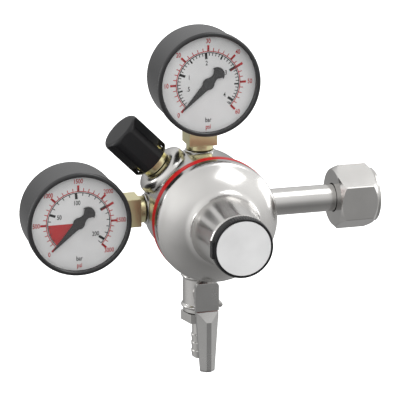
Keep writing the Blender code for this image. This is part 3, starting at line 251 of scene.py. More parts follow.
DRUM_RADIUS = 27.8
DRUM_FRONT = 16.2
DRUM_BACK = -15.2
DRUM_EDGE = 6.0
DRUM_SOFTNESS = 0.5
BOSS_FOOT = 20.0             # every boss starts inside the drum
BOSS_CORNER = 0.3
BOSS_SIDES = 64
BOSS_RADIUS = 7.4
BOSS_TOP = 28.15
PORT_RADIUS = 5.3
PORT_DEPTH = 4.0
RELIEF_RIM_RADIUS = 8.3
RELIEF_FOOT_RADIUS = 13.5
RELIEF_BOSS_TOP = 30.6
RELIEF_FOOT = 27.0
RELIEF_BACK = -8.0
BOSS_SKEW = 0.031            # small turns that keep the seams of joined shapes apart
RELIEF_SKEW = 0.037
NICKEL = (0.55, 0.54, 0.525)
FINE = 96                    # sides of a large turned piece
SMOOTH_ANGLE = math.radians(32)


def satin_metal(name, colour, roughness):
    """Plated or machined metal: a fine blasted grain under slow patches of wear."""
    finish = Finish(bpy.data.materials.new(name))
    spot = finish.node('ShaderNodeTexCoord', {}, {}, 'Object')
    grain = finish.node('ShaderNodeTexNoise', {}, {'Vector': spot, 'Scale': 4200.0, 'Detail': 1.0})
    patches = finish.node('ShaderNodeTexNoise', {}, {'Vector': spot, 'Scale': 55.0, 'Detail': 3.0})
    worn = tuple(0.93 * part for part in colour)
    tone = finish.ramp(patches, [(0.35, worn), (0.65, colour)])
    relief = finish.node('ShaderNodeBump', {}, {'Strength': 0.04, 'Distance': 0.00002, 'Height': grain})
    finish.feed(finish.tree.nodes['Principled BSDF'],
                {'Base Color': tone, 'Metallic': 1.0, 'Normal': relief,
                 'Roughness': patches * 0.08 + grain * 0.05 + (roughness - 0.065)})
    return finish.owner


def arc(centre, radius, start, end, count):
    """Points on an arc, angles in degrees, both ends included."""
    steps = [math.radians(start + (end - start) * i / count) for i in range(count + 1)]
    return [(centre[0] + radius * math.cos(a), centre[1] + radius * math.sin(a)) for a in steps]


def turned(profile, steps=FINE):
    """A (radius, height) profile spun about Z. It starts and ends on the axis, or is a ring."""
    shape = bmesh.new()
    verts = [shape.verts.new((radius, 0, height)) for radius, height in profile]
    edges = [shape.edges.new(pair) for pair in zip(verts, verts[1:])]
    if profile[0][0] > 0:
        edges.append(shape.edges.new((verts[-1], verts[0])))
    bmesh.ops.spin(shape, geom=verts + edges, cent=(0, 0, 0), axis=(0, 0, 1), dvec=(0, 0, 0),
                   angle=2 * math.pi, steps=steps, use_merge=True, use_duplicate=False)
    bmesh.ops.remove_doubles(shape, verts=shape.verts, dist=0.0001)
    bmesh.ops.recalc_face_normals(shape, faces=shape.faces)
    return shape


def soften(shape, width, segments=2, angle=35):
    """Rounds every edge that is sharper than angle."""
    sharp = [edge for edge in shape.edges
             if len(edge.link_faces) == 2 and edge.calc_face_angle() > math.radians(angle)]
    bmesh.ops.bevel(shape, geom=sharp, offset=width, segments=segments, profile=0.5,
                    affect='EDGES', material=-1, clamp_overlap=True)
    return shape


def placed(shape, where):
    """Moves a shape from millimetres on its own axis to its place in the frame."""
    bmesh.ops.transform(shape, matrix=where @ Matrix.Scale(MM, 4), verts=shape.verts)
    return shape


def combined(base, tool, operation):
    """One shape from two placed ones, by a Boolean."""
    parts = []
    for label, shape in (('base', base), ('tool', tool)):
        mesh = bpy.data.meshes.new(label)
        shape.to_mesh(mesh)
        shape.free()
        item = bpy.data.objects.new(label, mesh)
        bpy.context.scene.collection.objects.link(item)
        parts.append(item)
    modifier = parts[0].modifiers.new('join', 'BOOLEAN')
    modifier.operation = operation
    modifier.solver = 'EXACT'
    modifier.object = parts[1]
    ready = parts[0].evaluated_get(bpy.context.evaluated_depsgraph_get())
    result = bmesh.new()
    result.from_mesh(ready.to_mesh())
    ready.to_mesh_clear()
    for item in parts:
        mesh = item.data
        bpy.data.objects.remove(item)
        bpy.data.meshes.remove(mesh)
    return result


def finish_piece(name, shape, material, body, nodes=()):
    """Turns a placed shape into a smooth piece that rides on a body."""
    mesh = bpy.data.meshes.new(name)
    shape.to_mesh(mesh)
    shape.free()
    mesh.shade_smooth()
    mesh.set_sharp_from_angle(angle=SMOOTH_ANGLE)
    mesh.materials.append(material)
    item = bpy.data.objects.new(name, mesh)
    bpy.context.scene.collection.objects.link(item)
    even = item.modifiers.new('even_normals', 'WEIGHTED_NORMAL')
    even.keep_sharp = True
    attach(item, body)
    if nodes:
        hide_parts(*nodes)
    return item


nickel = satin_metal('satin nickel', NICKEL, 0.21)
rim = arc((DRUM_RADIUS - DRUM_EDGE, DRUM_BACK + DRUM_EDGE), DRUM_EDGE, -90, 0, 12)
drum_profile = [(0, DRUM_BACK), *rim, (DRUM_RADIUS, DRUM_FRONT), (0, DRUM_FRONT)]
drum = placed(soften(turned(drum_profile), DRUM_SOFTNESS), knob_axis)
boss_profile = [(0, BOSS_FOOT), (BOSS_RADIUS, BOSS_FOOT), (BOSS_RADIUS, BOSS_TOP - BOSS_CORNER),
                (BOSS_RADIUS - BOSS_CORNER, BOSS_TOP), (PORT_RADIUS, BOSS_TOP),
                (PORT_RADIUS, BOSS_TOP - PORT_DEPTH), (0, BOSS_TOP - PORT_DEPTH)]
for axis in (inlet_axis, left_axis, top_axis, bottom_axis):
    boss = placed(turned(boss_profile, BOSS_SIDES), axis @ Matrix.Rotation(BOSS_SKEW, 4, 'Z'))
    drum = combined(drum, boss, 'UNION')
shoulder = [(RELIEF_RIM_RADIUS + (RELIEF_FOOT_RADIUS - RELIEF_RIM_RADIUS) * x,
             RELIEF_FOOT + (RELIEF_BOSS_TOP - RELIEF_FOOT) * z) for x, z in arc((0, 0), 1, 0, 90, 14)]
relief_boss = turned([(0, BOSS_FOOT), (RELIEF_FOOT_RADIUS, BOSS_FOOT), *shoulder,
                      (PORT_RADIUS, RELIEF_BOSS_TOP), (PORT_RADIUS, RELIEF_BOSS_TOP - PORT_DEPTH),
                      (0, RELIEF_BOSS_TOP - PORT_DEPTH)])
relief_parts = relief_boss.verts[:] + relief_boss.edges[:] + relief_boss.faces[:]
cut_back = bmesh.ops.bisect_plane(relief_boss, geom=relief_parts, plane_co=(0, RELIEF_BACK, 0),
                                  plane_no=(0, -1, 0), clear_outer=True)['geom_cut']
bmesh.ops.contextual_create(relief_boss, geom=[e for e in cut_back if isinstance(e, bmesh.types.BMEdge)])
bmesh.ops.recalc_face_normals(relief_boss, faces=relief_boss.faces)
drum = combined(drum, placed(relief_boss, relief_axis @ Matrix.Rotation(RELIEF_SKEW, 4, 'Z')), 'UNION')
finish_piece('body_drum', drum, nickel, 'regulator', ['valve_body'])


# ---------------------------------------------------------------- clamp ring
# A moulded red plastic ring between the drum and the bonnet, a little wider than either, with
# a slight crown outside and small chamfers at its edges.

RING_INNER = 22.8
RING_OUTER = 30.2
RING_BACK = 16.5
RING_FRONT = 20.5
RED = (0.46, 0.002, 0.003)


def moulded(name, colour, roughness, grain_depth=0.00002, gloss=0.5):
    """Moulded plastic: a faint orange peel, with roughness that varies over the surface."""
    finish = Finish(bpy.data.materials.new(name))
    spot = finish.node('ShaderNodeTexCoord', {}, {}, 'Object')
    peel = finish.node('ShaderNodeTexNoise', {}, {'Vector': spot, 'Scale': 900.0, 'Detail': 2.0})
    patches = finish.node('ShaderNodeTexNoise', {}, {'Vector': spot, 'Scale': 70.0, 'Detail': 3.0})
    lighter = tuple(min(1.0, 1.12 * part) for part in colour)
    tone = finish.ramp(patches, [(0.35, colour), (0.70, lighter)])
    relief = finish.node('ShaderNodeBump', {}, {'Strength': 0.15, 'Distance': grain_depth, 'Height': peel})
    finish.feed(finish.tree.nodes['Principled BSDF'],
                {'Base Color': tone, 'Normal': relief, 'Specular IOR Level': gloss,
                 'Roughness': patches * 0.10 + (roughness - 0.05)})
    return finish.owner


red_moulding = moulded('red moulding', RED, 0.38, gloss=0.3)
crown = [(RING_INNER, RING_BACK), (RING_OUTER - 0.4, RING_BACK), (RING_OUTER - 0.1, RING_BACK + 0.4),
         (RING_OUTER, (RING_BACK + RING_FRONT) / 2), (RING_OUTER - 0.1, RING_FRONT - 0.4),
         (RING_OUTER - 0.4, RING_FRONT), (RING_INNER, RING_FRONT)]
finish_piece('red_ring', placed(turned(crown), knob_axis), red_moulding, 'regulator',
             ['clamp_ring'])


# ---------------------------------------------------------------- bonnet
# The spring housing, turned and nickel plated: a flange with a rounded shoulder, a shallow dome,
# and a slightly tapered neck that rises from the dome in a fillet.

BONNET_RADIUS = 30.0
BONNET_BACK = 20.8
BONNET_FRONT = 62.5
FLANGE_TOP = 24.4
SHOULDER = 3.4
NECK_FOOT = (17.0, 37.0)
NECK_END = 14.3
FILLET = 5.0
SPRING_BORE = 12.0
SPRING_BORE_END = 34.0
SCREW_BORE = SPRING_BORE - 7.7
BONNET_WALL = 5.0            # thickness of the closed end round the screw
DOME_SWELL = 1.3             # how far the dome bulges past a plain cone
SEAT_DEPTH = 1.7             # recess over the diaphragm


def fillet(corner, before, after, radius, count):
    """A quadratic blend near a corner between two profile directions."""
    corner, before, after = (Vector(point) for point in (corner, before, after))
    start = corner + (before - corner).normalized() * radius
    end = corner + (after - corner).normalized() * radius
    shares = [i / count for i in range(count + 1)]
    return [tuple(start * (1 - s) ** 2 + corner * 2 * s * (1 - s) + end * s ** 2) for s in shares]


bonnet_shoulder = arc((BONNET_RADIUS - SHOULDER, FLANGE_TOP), SHOULDER, 0, 52, 10)
dome = []
for step in range(1, 9):
    share = step / 10
    swell = DOME_SWELL * 4 * share * (1 - share)
    dome.append((bonnet_shoulder[-1][0] + (NECK_FOOT[0] - bonnet_shoulder[-1][0]) * share + swell * 0.6,
                 bonnet_shoulder[-1][1] + (NECK_FOOT[1] - bonnet_shoulder[-1][1]) * share + swell * 0.8))
neck_top = (NECK_END, BONNET_FRONT - 2.0)
blend = fillet(NECK_FOOT, dome[-1], neck_top, min(FILLET, (Vector(dome[-1]) - Vector(NECK_FOOT)).length), 10)
bonnet_profile = [(BONNET_RADIUS - 0.6, BONNET_BACK), (BONNET_RADIUS, BONNET_BACK + 0.6), *bonnet_shoulder,
                  *dome[:-1], *blend, neck_top, (NECK_END - 0.2, BONNET_FRONT - 0.9),
                  (NECK_END - 0.8, BONNET_FRONT), (SCREW_BORE, BONNET_FRONT),
                  (SCREW_BORE, BONNET_FRONT - BONNET_WALL), (SPRING_BORE, BONNET_FRONT - BONNET_WALL),
                  (SPRING_BORE, SPRING_BORE_END), (RING_INNER - 4, BONNET_BACK + SEAT_DEPTH),
                  (RING_INNER, BONNET_BACK + SEAT_DEPTH),
                  (RING_INNER, BONNET_BACK)]
finish_piece('bonnet_shell', placed(turned(bonnet_profile), knob_axis), nickel, 'regulator',
             ['bonnet'])


# ---------------------------------------------------------------- inlet nipple and union nut
# A plain turned stem whose collar sits inside a hexagonal nut. The nut's corners are chamfered
# by turning, so each flat ends in a curve, and its round lip shows at the open end.

STEM_RADIUS = 6.7
STEM_START = 28.45
SEAL_FACE = 80.0
NUT_FLATS = 28.575
NUT_BACK = SEAL_FACE - 13.5
NUT_FRONT = SEAL_FACE + 7.55
NUT_CORNER = NUT_FLATS / math.sqrt(3)
NUT_THREAD = 10.5
NUT_BORE = 7.2
NUT_FACE = 13.9
NUT_LIP = 13.3
NUT_CHAMFER = 2.6
NUT_WALL = 5.0
COLLAR_BACK = NUT_BACK + 5.3
COLLAR_LENGTH = 2.7
COLLAR_RADIUS = 9.5
NOSE_RADIUS = 8.2
NOSE_END = SEAL_FACE - 2.3
FILTER_SEAT = SEAL_FACE - 5.1
STEM_BORE = 2.5
FILTER_RADIUS = 3.5


def hexagonal(flats, low, high, rounding, segments, turn=0.0):
    """A six-sided prism with rounded upright edges, corners on X before it is turned."""
    shape = bmesh.new()
    bmesh.ops.create_cone(shape, cap_ends=True, segments=6, radius1=flats / math.sqrt(3),
                          radius2=flats / math.sqrt(3), depth=high - low)
    bmesh.ops.transform(shape, verts=shape.verts, matrix=Matrix.Translation((0, 0, (low + high) / 2))
                        @ Matrix.Rotation(math.radians(turn + 90), 4, 'Z'))
    upright = [edge for edge in shape.edges if abs(edge.verts[0].co.z - edge.verts[1].co.z) > 1]
    bmesh.ops.bevel(shape, geom=upright, offset=rounding, segments=segments, profile=0.5,
                    affect='EDGES', material=-1)
    return shape


stem = [(STEM_BORE, STEM_START), (STEM_RADIUS - 0.3, STEM_START), (STEM_RADIUS, STEM_START + 0.3),
        (STEM_RADIUS, COLLAR_BACK), (COLLAR_RADIUS, COLLAR_BACK),
        (COLLAR_RADIUS, COLLAR_BACK + COLLAR_LENGTH), (NOSE_RADIUS, COLLAR_BACK + COLLAR_LENGTH),
        (NOSE_RADIUS, NOSE_END - 0.3), (NOSE_RADIUS - 0.3, NOSE_END), (FILTER_RADIUS, NOSE_END),
        (FILTER_RADIUS, FILTER_SEAT), (STEM_BORE, FILTER_SEAT)]
finish_piece('inlet_stem', placed(turned(stem, 72), inlet_axis), nickel, 'regulator',
             ['inlet_nipple'])
nut_profile = [(NUT_BORE, NUT_BACK), (NUT_FACE, NUT_BACK), (NUT_CORNER, NUT_BACK + NUT_CHAMFER),
               (NUT_CORNER, SEAL_FACE + 3.0), (NUT_LIP, SEAL_FACE + 6.2), (NUT_LIP, NUT_FRONT - 0.4),
               (NUT_LIP - 0.4, NUT_FRONT), (NUT_THREAD + 0.7, NUT_FRONT), (NUT_THREAD, NUT_FRONT - 0.7),
               (NUT_THREAD, NUT_BACK + NUT_WALL), (NUT_BORE, NUT_BACK + NUT_WALL)]
nut_flats = hexagonal(NUT_FLATS, NUT_BACK - 1, NUT_FRONT + 1, 0.35, 3, turn=90)
nut = combined(placed(turned(nut_profile, 120), inlet_axis), placed(nut_flats, inlet_axis), 'INTERSECT')
finish_piece('nut_shell', nut, nickel, 'union_nut', ['inlet_nut'])


# ---------------------------------------------------------------- relief valve
# A brass body screwed into the leaning boss, under a hexagonal black cap with a domed end.
# The cap is vented near its rim, and the brass shows there.

RELIEF_BASE = RELIEF_BOSS_TOP + 0.3
RELIEF_COLLAR = RELIEF_BASE + 3.6
RELIEF_FLANGE = RELIEF_COLLAR + 4.9
CAP_BOTTOM = RELIEF_COLLAR + 0.3
CAP_TOP = RELIEF_COLLAR + 22.5
CAP_CORNER = 10.25
CAP_FLATS = 19.4
CAP_EDGE = 2.2               # radius where the cap's side meets its end
VENT_SIZE = (6.0, 4.6, 4.0)
VENT_REACH = 9.2
VENT_RISE = 2.8
BRASS = (0.78, 0.72, 0.43)


def cuboid(size, centre, turn=0.0):
    """A plain block about centre, then turned about the axis by an angle in degrees."""
    shape = bmesh.new()
    bmesh.ops.create_cube(shape, size=1.0)
    bmesh.ops.transform(shape, verts=shape.verts,
                        matrix=Matrix.Rotation(math.radians(turn), 4, 'Z')
                        @ Matrix.Translation(centre) @ Matrix.Diagonal((*size, 1)))
    return shape


brass = satin_metal('machined brass', BRASS, 0.30)
black_moulding = moulded('black moulding', (0.011, 0.011, 0.012), 0.36, 0.00003, gloss=0.25)
relief_profile = [(1.5, RELIEF_BASE), (7.2, RELIEF_BASE), (7.2, RELIEF_COLLAR), (8.2, RELIEF_COLLAR),
                  (8.2, RELIEF_FLANGE), (6.2, RELIEF_FLANGE), (6.2, RELIEF_FLANGE + 12.2),
                  (4.4, RELIEF_FLANGE + 12.2), (4.4, RELIEF_BASE + 0.5), (1.5, RELIEF_BASE + 0.5)]
finish_piece('relief_shell', placed(soften(turned(relief_profile, 72), 0.2), relief_axis), brass, 'regulator',
             ['relief_body'])
cap_crown = arc((CAP_CORNER - CAP_EDGE, CAP_TOP - CAP_EDGE), CAP_EDGE, 0, 80, 8)
cap_profile = [(8.5, CAP_BOTTOM), (CAP_CORNER - 0.5, CAP_BOTTOM), (CAP_CORNER, CAP_BOTTOM + 0.5), *cap_crown,
               (CAP_CORNER - 3.0, CAP_TOP), (0, CAP_TOP), (0, CAP_TOP - 3), (6.5, CAP_TOP - 3),
               (6.5, RELIEF_FLANGE + 0.3), (8.5, RELIEF_FLANGE + 0.3)]
axis_entry = cap_profile.index((0, CAP_TOP)) + 1
cap_ring = cap_profile[axis_entry:] + cap_profile[:axis_entry]
cap_flats = hexagonal(CAP_FLATS, CAP_BOTTOM - 1, CAP_TOP + 1, 0.7, 4)
cap = combined(placed(turned(cap_ring), relief_axis), placed(cap_flats, relief_axis), 'INTERSECT')
for angle in (-60, 60):
    vent = cuboid(VENT_SIZE, (0, VENT_REACH, CAP_BOTTOM + VENT_RISE), angle)
    cap = combined(cap, placed(vent, relief_axis), 'DIFFERENCE')
finish_piece('relief_hood', cap, black_moulding, 'regulator', ['relief_cap'])


# ---------------------------------------------------------------- gauges
# Two Bourdon gauges of 50 mm: a square brass socket, a black lacquered steel can with a rolled
# bezel, a white enamelled dial with red psi and black bar scales, a clear window and a hand.

CAN_RADIUS = 24.6
CAN_BORE = 23.8
CAN_BACK = -10.0
CAN_FRONT = 18.0
BEZEL_RADIUS = 25.4
BEZEL_BACK = 12.6
BEZEL_LIP = 23.2
DIAL_FRONT = 14.9
PRINT_LIFT = 0.05
SCALE_START = 225.0          # zero is at the lower left, and the scale runs clockwise
SCALE_SWEEP = 270.0
RED_LINE = 15.7
BLACK_LINE = 15.05
PSI_PER_BAR = 14.504
LETTER_WIDTH = 0.74          # condensed lettering
NEEDLE_REST = 135.0          # turn from upright to zero
PANE_BACK = 16.1
PANE_FRONT = 17.1
BLOCK_SIZE = (14.0, 14.0, 7.9)

lacquer = moulded('black lacquer', (0.020, 0.020, 0.021), 0.24, 0.00001, gloss=0.5)
enamel = moulded('white enamel', (0.66, 0.66, 0.66), 0.50, 0.00001, gloss=0.2)
red_ink = moulded('red ink', (0.42, 0.010, 0.012), 0.60, 0.00001, gloss=0.06)
black_ink = moulded('black ink', (0.008, 0.008, 0.008), 0.60, 0.00001, gloss=0.06)
hand_paint = moulded('black hand paint', (0.010, 0.010, 0.011), 0.55, 0.00001, gloss=0.1)

clear = Finish(bpy.data.materials.new('clear window'))
haze_spot = clear.node('ShaderNodeTexCoord', {}, {}, 'Object')
haze = clear.node('ShaderNodeTexNoise', {}, {'Vector': haze_spot, 'Scale': 80.0, 'Detail': 2.0})
clear.feed(clear.tree.nodes['Principled BSDF'],
           {'Base Color': (1, 1, 1, 1), 'Roughness': haze * 0.04 + 0.02, 'Alpha': haze * 0.02 + 0.03})


def scale_angle(share):
    return math.radians(SCALE_START - SCALE_SWEEP * share)


def flat_piece(outline, low, high):
    """A flat outline of (x, y) points, extruded along Z."""
    shape = bmesh.new()
    face = shape.faces.new([shape.verts.new((x, y, low)) for x, y in outline])
    grown = bmesh.ops.extrude_face_region(shape, geom=[face])
    top = [item for item in grown['geom'] if isinstance(item, bmesh.types.BMVert)]
    bmesh.ops.translate(shape, verts=top, vec=(0, 0, high - low))
    bmesh.ops.recalc_face_normals(shape, faces=shape.faces)
    return shape


def merged(shapes):
    """Several separate solids as one shape."""
    whole = bmesh.new()
    for shape in shapes:
        mesh = bpy.data.meshes.new('part')
        shape.to_mesh(mesh)
        shape.free()
        whole.from_mesh(mesh)
        bpy.data.meshes.remove(mesh)
    return whole


def tick(share, inner, outer, width):
    """A printed bar along a radius of the dial."""
    angle = scale_angle(share)
    along = Vector((math.cos(angle), math.sin(angle)))
    across = Vector((-along.y, along.x)) * width / 2
    corners = [along * inner - across, along * outer - across, along * outer + across, along * inner + across]
    return flat_piece([tuple(corner) for corner in corners], DIAL_FRONT, DIAL_FRONT + PRINT_LIFT)


def band(inner, outer, first, last):
    """A printed stretch of a ring between two shares of the scale."""
    count = max(2, round(72 * (last - first)))
    start, end = (math.degrees(scale_angle(share)) for share in (first, last))
    outline = arc((0, 0), outer, start, end, count)
    outline += arc((0, 0), inner, end, start, count) if inner > 0 else [(0, 0)]
    return flat_piece(outline, DIAL_FRONT, DIAL_FRONT + PRINT_LIFT)


def words(text, x, y, size):
    """Centred condensed lettering, made a mesh before it is placed."""
    curve = bpy.data.curves.new('letters', 'FONT')
    curve.body = text
    curve.size = size
    curve.align_x = 'CENTER'
    curve.align_y = 'CENTER'
    curve.extrude = PRINT_LIFT / 2
    curve.offset = 0.055
    curve.resolution_u = 3
    item = bpy.data.objects.new('letters', curve)
    bpy.context.scene.collection.objects.link(item)
    ready = item.evaluated_get(bpy.context.evaluated_depsgraph_get())
    shape = bmesh.new()
    shape.from_mesh(ready.to_mesh())
    ready.to_mesh_clear()
    bpy.data.objects.remove(item)
    bpy.data.curves.remove(curve)
    bmesh.ops.remove_doubles(shape, verts=shape.verts, dist=0.0005)
    middle_height = DIAL_FRONT + PRINT_LIFT / 2
    condensed = Matrix.Translation((x, y, middle_height)) @ Matrix.Diagonal((LETTER_WIDTH, 1, 1, 1))
    bmesh.ops.transform(shape, matrix=condensed, verts=shape.verts)
    return shape


def label(text, share, radius, size):
    angle = scale_angle(share)
    return words(text, radius * math.cos(angle), radius * math.sin(angle), size)


def gauge_print(psi_full, psi_major, psi_minor, bar_labels, bar_major, bar_minor, bar_medium,
                limit, low_zone):
    """The red and the black marks of one dial, as two lists of shapes."""
    minor = [tick(i * psi_minor / psi_full, RED_LINE, RED_LINE + 1.7, 0.38)
             for i in range(round(psi_full / psi_minor) + 1)]
    major = [tick(i * psi_major / psi_full, RED_LINE - 0.1, RED_LINE + 3.0, 1.10)
             for i in range(round(psi_full / psi_major) + 1)]
    numbers = [label(str(i * psi_major), i * psi_major / psi_full, RED_LINE + 4.9, 3.2)
               for i in range(round(psi_full / psi_major) + 1)]
    red = [band(RED_LINE - 0.2, RED_LINE + 0.2, 0, 1), *minor, *major, *numbers,
           tick(limit / psi_full, 12.3, 19.2, 1.25), words('psi', 0, -21.0, 3.2)]
    if low_zone:
        red.append(band(0, BLACK_LINE - 0.3, 0, low_zone / psi_full))
    bar_full = psi_full / PSI_PER_BAR
    share_of = 1 / bar_full
    black = [band(BLACK_LINE - 0.2, BLACK_LINE + 0.2, 0, 1), tick(1, 13.2, BLACK_LINE, 0.35),
             words('bar', 0, -17.6, 3.2)]
    black += [tick(i * bar_minor * share_of, 13.6, BLACK_LINE, 0.40)
              for i in range(int(bar_full / bar_minor) + 1)]
    black += [tick(i * bar_medium * share_of, 12.9, BLACK_LINE, 0.80)
              for i in range(1, int(bar_full / bar_medium) + 1)]
    black += [tick(i * bar_major * share_of, 12.0, BLACK_LINE, 1.25)
              for i in range(1, int(bar_full / bar_major) + 1)]
    black += [label(text, value * share_of, 10.0, 3.1) for text, value in bar_labels]
    return red, black


def lifted(shapes, dial_axis):
    return placed(merged(shapes), dial_axis)


def hand_outline():
    """The hand pointing up: a tapering blade, a round hub with flats and a fan-shaped tail."""
    right = [(0, 18.4), (0.35, 16.5), (1.75, 3.3), *arc((0, 0), 2.9, 48, 10, 3),
             *arc((0, 0), 2.9, -10, -48, 3), (1.45, -3.9), (1.55, -4.9), (3.0, -6.9),
             *arc((0, -6.0), 3.7, -10, -90, 7)]
    return right + [(-x, y) for x, y in reversed(right[1:-1])]


def gauge(prefix, port_axis, dial_print):
    """One gauge on its port: port_axis has Z away from the body."""
    low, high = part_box(prefix + '_window')
    centre = Vector(((low.x + high.x) / 2, ports.y, (low.z + high.z) / 2))
    dial_axis = place(centre, FRONT, UP)
    can_edge = arc((CAN_RADIUS - 4, CAN_BACK + 4), 4, -90, 0, 10)
    profile = [(0, CAN_BACK), *can_edge, (CAN_RADIUS, BEZEL_BACK),
               *arc((BEZEL_RADIUS - 0.8, BEZEL_BACK + 0.8), 0.8, -60, 0, 4),
               *arc((BEZEL_RADIUS - 1.1, CAN_FRONT - 1.1), 1.1, 0, 90, 7), (BEZEL_LIP + 0.5, CAN_FRONT),
               (BEZEL_LIP, CAN_FRONT - 0.4), (BEZEL_LIP, CAN_FRONT - 0.8), (CAN_BORE, CAN_FRONT - 0.8),
               (CAN_BORE, CAN_BACK + 4), (CAN_BORE - 3, CAN_BACK + 0.8), (0, CAN_BACK + 0.8)]
    finish_piece(prefix + '_can', placed(turned(profile), dial_axis), lacquer, 'regulator',
                 [prefix + '_case'])
    pane = soften(turned([(0, PANE_BACK), (CAN_BORE - 0.3, PANE_BACK), (CAN_BORE - 0.3, PANE_FRONT),
                          (0, PANE_FRONT)]), 0.1)
    finish_piece(prefix + '_pane', placed(pane, dial_axis), clear.owner, 'regulator',
                 [prefix + '_window'])
    plate = turned([(0.9, DIAL_FRONT - 0.5), (CAN_BORE - 0.3, DIAL_FRONT - 0.5),
                    (CAN_BORE - 0.3, DIAL_FRONT), (0.9, DIAL_FRONT)])
    finish_piece(prefix + '_face', placed(plate, dial_axis), enamel, 'regulator',
                 [prefix + '_dial'])
    red, black = dial_print
    finish_piece(prefix + '_red_print', lifted(red, dial_axis), red_ink, 'regulator')
    finish_piece(prefix + '_black_print', lifted(black, dial_axis), black_ink, 'regulator')
    hand = soften(flat_piece(hand_outline(), DIAL_FRONT + 0.4, DIAL_FRONT + 0.9), 0.08, 1)
    hand_place = dial_axis @ Matrix.Rotation(math.radians(NEEDLE_REST), 4, 'Z')
    finish_piece(prefix + '_hand', placed(hand, hand_place), hand_paint, prefix + '_hand',
                 [prefix + '_pointer'])
    socket_piece(prefix, port_axis)


def socket_piece(prefix, port_axis):
    """A square brass block with softened edges, on a round neck."""
    low = BOSS_TOP + 2.85
    block = soften(cuboid(BLOCK_SIZE, (0, 0, low + BLOCK_SIZE[2] / 2)), 0.35, 2)
    neck = turned([(1.5, BOSS_TOP + 0.3), (6.3, BOSS_TOP + 0.3), (6.6, BOSS_TOP + 0.6), (6.6, low + 1.0),
                   (1.5, low + 1.0)], 64)
    whole = combined(placed(block, port_axis), placed(neck, port_axis), 'UNION')
    finish_piece(prefix + '_block', whole, brass, 'regulator', [prefix + '_socket'])


outlet_print = gauge_print(
    psi_full=60, psi_major=10, psi_minor=2, limit=43.7, low_zone=0,
    bar_labels=[('.5', 0.5), ('1', 1), ('2', 2), ('3', 3), ('4', 4)],
    bar_major=1, bar_minor=0.1, bar_medium=0.5)
cylinder_print = gauge_print(
    psi_full=3000, psi_major=500, psi_minor=100, limit=2190, low_zone=500,
    bar_labels=[('50', 50), ('100', 100), ('200', 200)],
    bar_major=50, bar_minor=10, bar_medium=50)
gauge('outlet_gauge', top_axis, outlet_print)
gauge('cylinder_gauge', left_axis, cylinder_print)


# ---------------------------------------------------------------- adjusting knob
# A short black moulding with a finely ribbed edge and a small tab at its side. A plain white
# disc lies in its face, level with the rim.

KNOB_RADIUS = 14.4
KNOB_BACK = 62.8
KNOB_FRONT = 68.4
DISC_RADIUS = 13.0
DISC_BACK = 66.8
RIBS = 72
RIB_DEPTH = 0.35
KNOB_RECESS = 7.0
TAB_SIZE = (1.5, 8.0, 3.9)

grip = turned([(0, KNOB_BACK + 1.6), (KNOB_RECESS, KNOB_BACK + 1.6), (KNOB_RECESS, KNOB_BACK),
               (KNOB_RADIUS - 0.4, KNOB_BACK), (KNOB_RADIUS, KNOB_BACK + 0.4),
               (KNOB_RADIUS, KNOB_FRONT - 1.1), (KNOB_RADIUS - 0.25, KNOB_FRONT - 0.3),
               (KNOB_RADIUS - 0.6, KNOB_FRONT), (DISC_RADIUS + 0.3, KNOB_FRONT),
               (DISC_RADIUS + 0.3, DISC_BACK - 0.3), (0, DISC_BACK - 0.3)], 2 * RIBS)
for vert in grip.verts:
    outer = math.hypot(vert.co.x, vert.co.y) > KNOB_RADIUS - 0.05
    step = round(math.atan2(vert.co.y, vert.co.x) / (math.pi / RIBS))
    if outer and step % 2:
        vert.co.x *= 1 - RIB_DEPTH / KNOB_RADIUS
        vert.co.y *= 1 - RIB_DEPTH / KNOB_RADIUS
tab = soften(cuboid(TAB_SIZE, (-14.25, 0.02, KNOB_BACK + 3.15)), 0.3)
finish_piece('knob_grip', combined(placed(grip, knob_axis), placed(tab, knob_axis), 'UNION'), black_moulding,
             'knob', ['adjusting_knob'])
disc_profile = [(0, DISC_BACK), (DISC_RADIUS, DISC_BACK), (DISC_RADIUS, KNOB_FRONT), (0, KNOB_FRONT)]
disc = soften(turned(disc_profile), 0.25)
finish_piece('knob_disc', placed(disc, knob_axis), moulded('white disc', (0.78, 0.78, 0.78), 0.38), 'knob',
             ['knob_badge'])


# ---------------------------------------------------------------- shut-off valve
# A nickel plated ball valve with rolled rims at both ends, a boss in front for its stem and a
# stop pin beside it. A hose barb with a hexagon is screwed into its lower end.

VALVE_TOP = 34.8
VALVE_RADIUS = 8.4
VALVE_RIM = 9.35
VALVE_CENTRE = 43.5
VALVE_END = 54.1
STEM_BOSS_FRONT = 10.3
LEVER_BACK = 11.3
HEX_FLATS = 16.45
HEX_TURN = 14.0
STOP_REACH = 9.3
STOP_ANGLE = math.radians(-36)

valve_profile = [(2.2, BOSS_TOP + 0.3), (7.0, BOSS_TOP + 0.3), (7.0, VALVE_TOP - 0.6), (7.6, VALVE_TOP),
                 *arc((VALVE_RIM - 0.7, VALVE_TOP + 0.9), 0.7, -60, 60, 6), (VALVE_RADIUS, VALVE_TOP + 2.2),
                 (VALVE_RADIUS, VALVE_TOP + 15.2), *arc((VALVE_RIM - 0.7, VALVE_TOP + 16.3), 0.7, -60, 60, 6),
                 (8.3, VALVE_TOP + 17.4), (8.3, VALVE_END), (6.2, VALVE_END), (6.2, VALVE_TOP + 1.5),
                 (2.2, VALVE_TOP + 1.5)]
valve = placed(soften(turned(valve_profile, 72), 0.15), bottom_axis)
lever_axis = place(ports - UP * VALVE_CENTRE * MM, FRONT, UP)
stem_boss = turned([(3.4, 7.2), (5.6, 7.2), (5.6, STEM_BOSS_FRONT - 0.4), (5.2, STEM_BOSS_FRONT),
                    (3.4, STEM_BOSS_FRONT)], 48)
valve = combined(valve, placed(stem_boss, lever_axis @ Matrix.Rotation(0.05, 4, 'Z')), 'UNION')
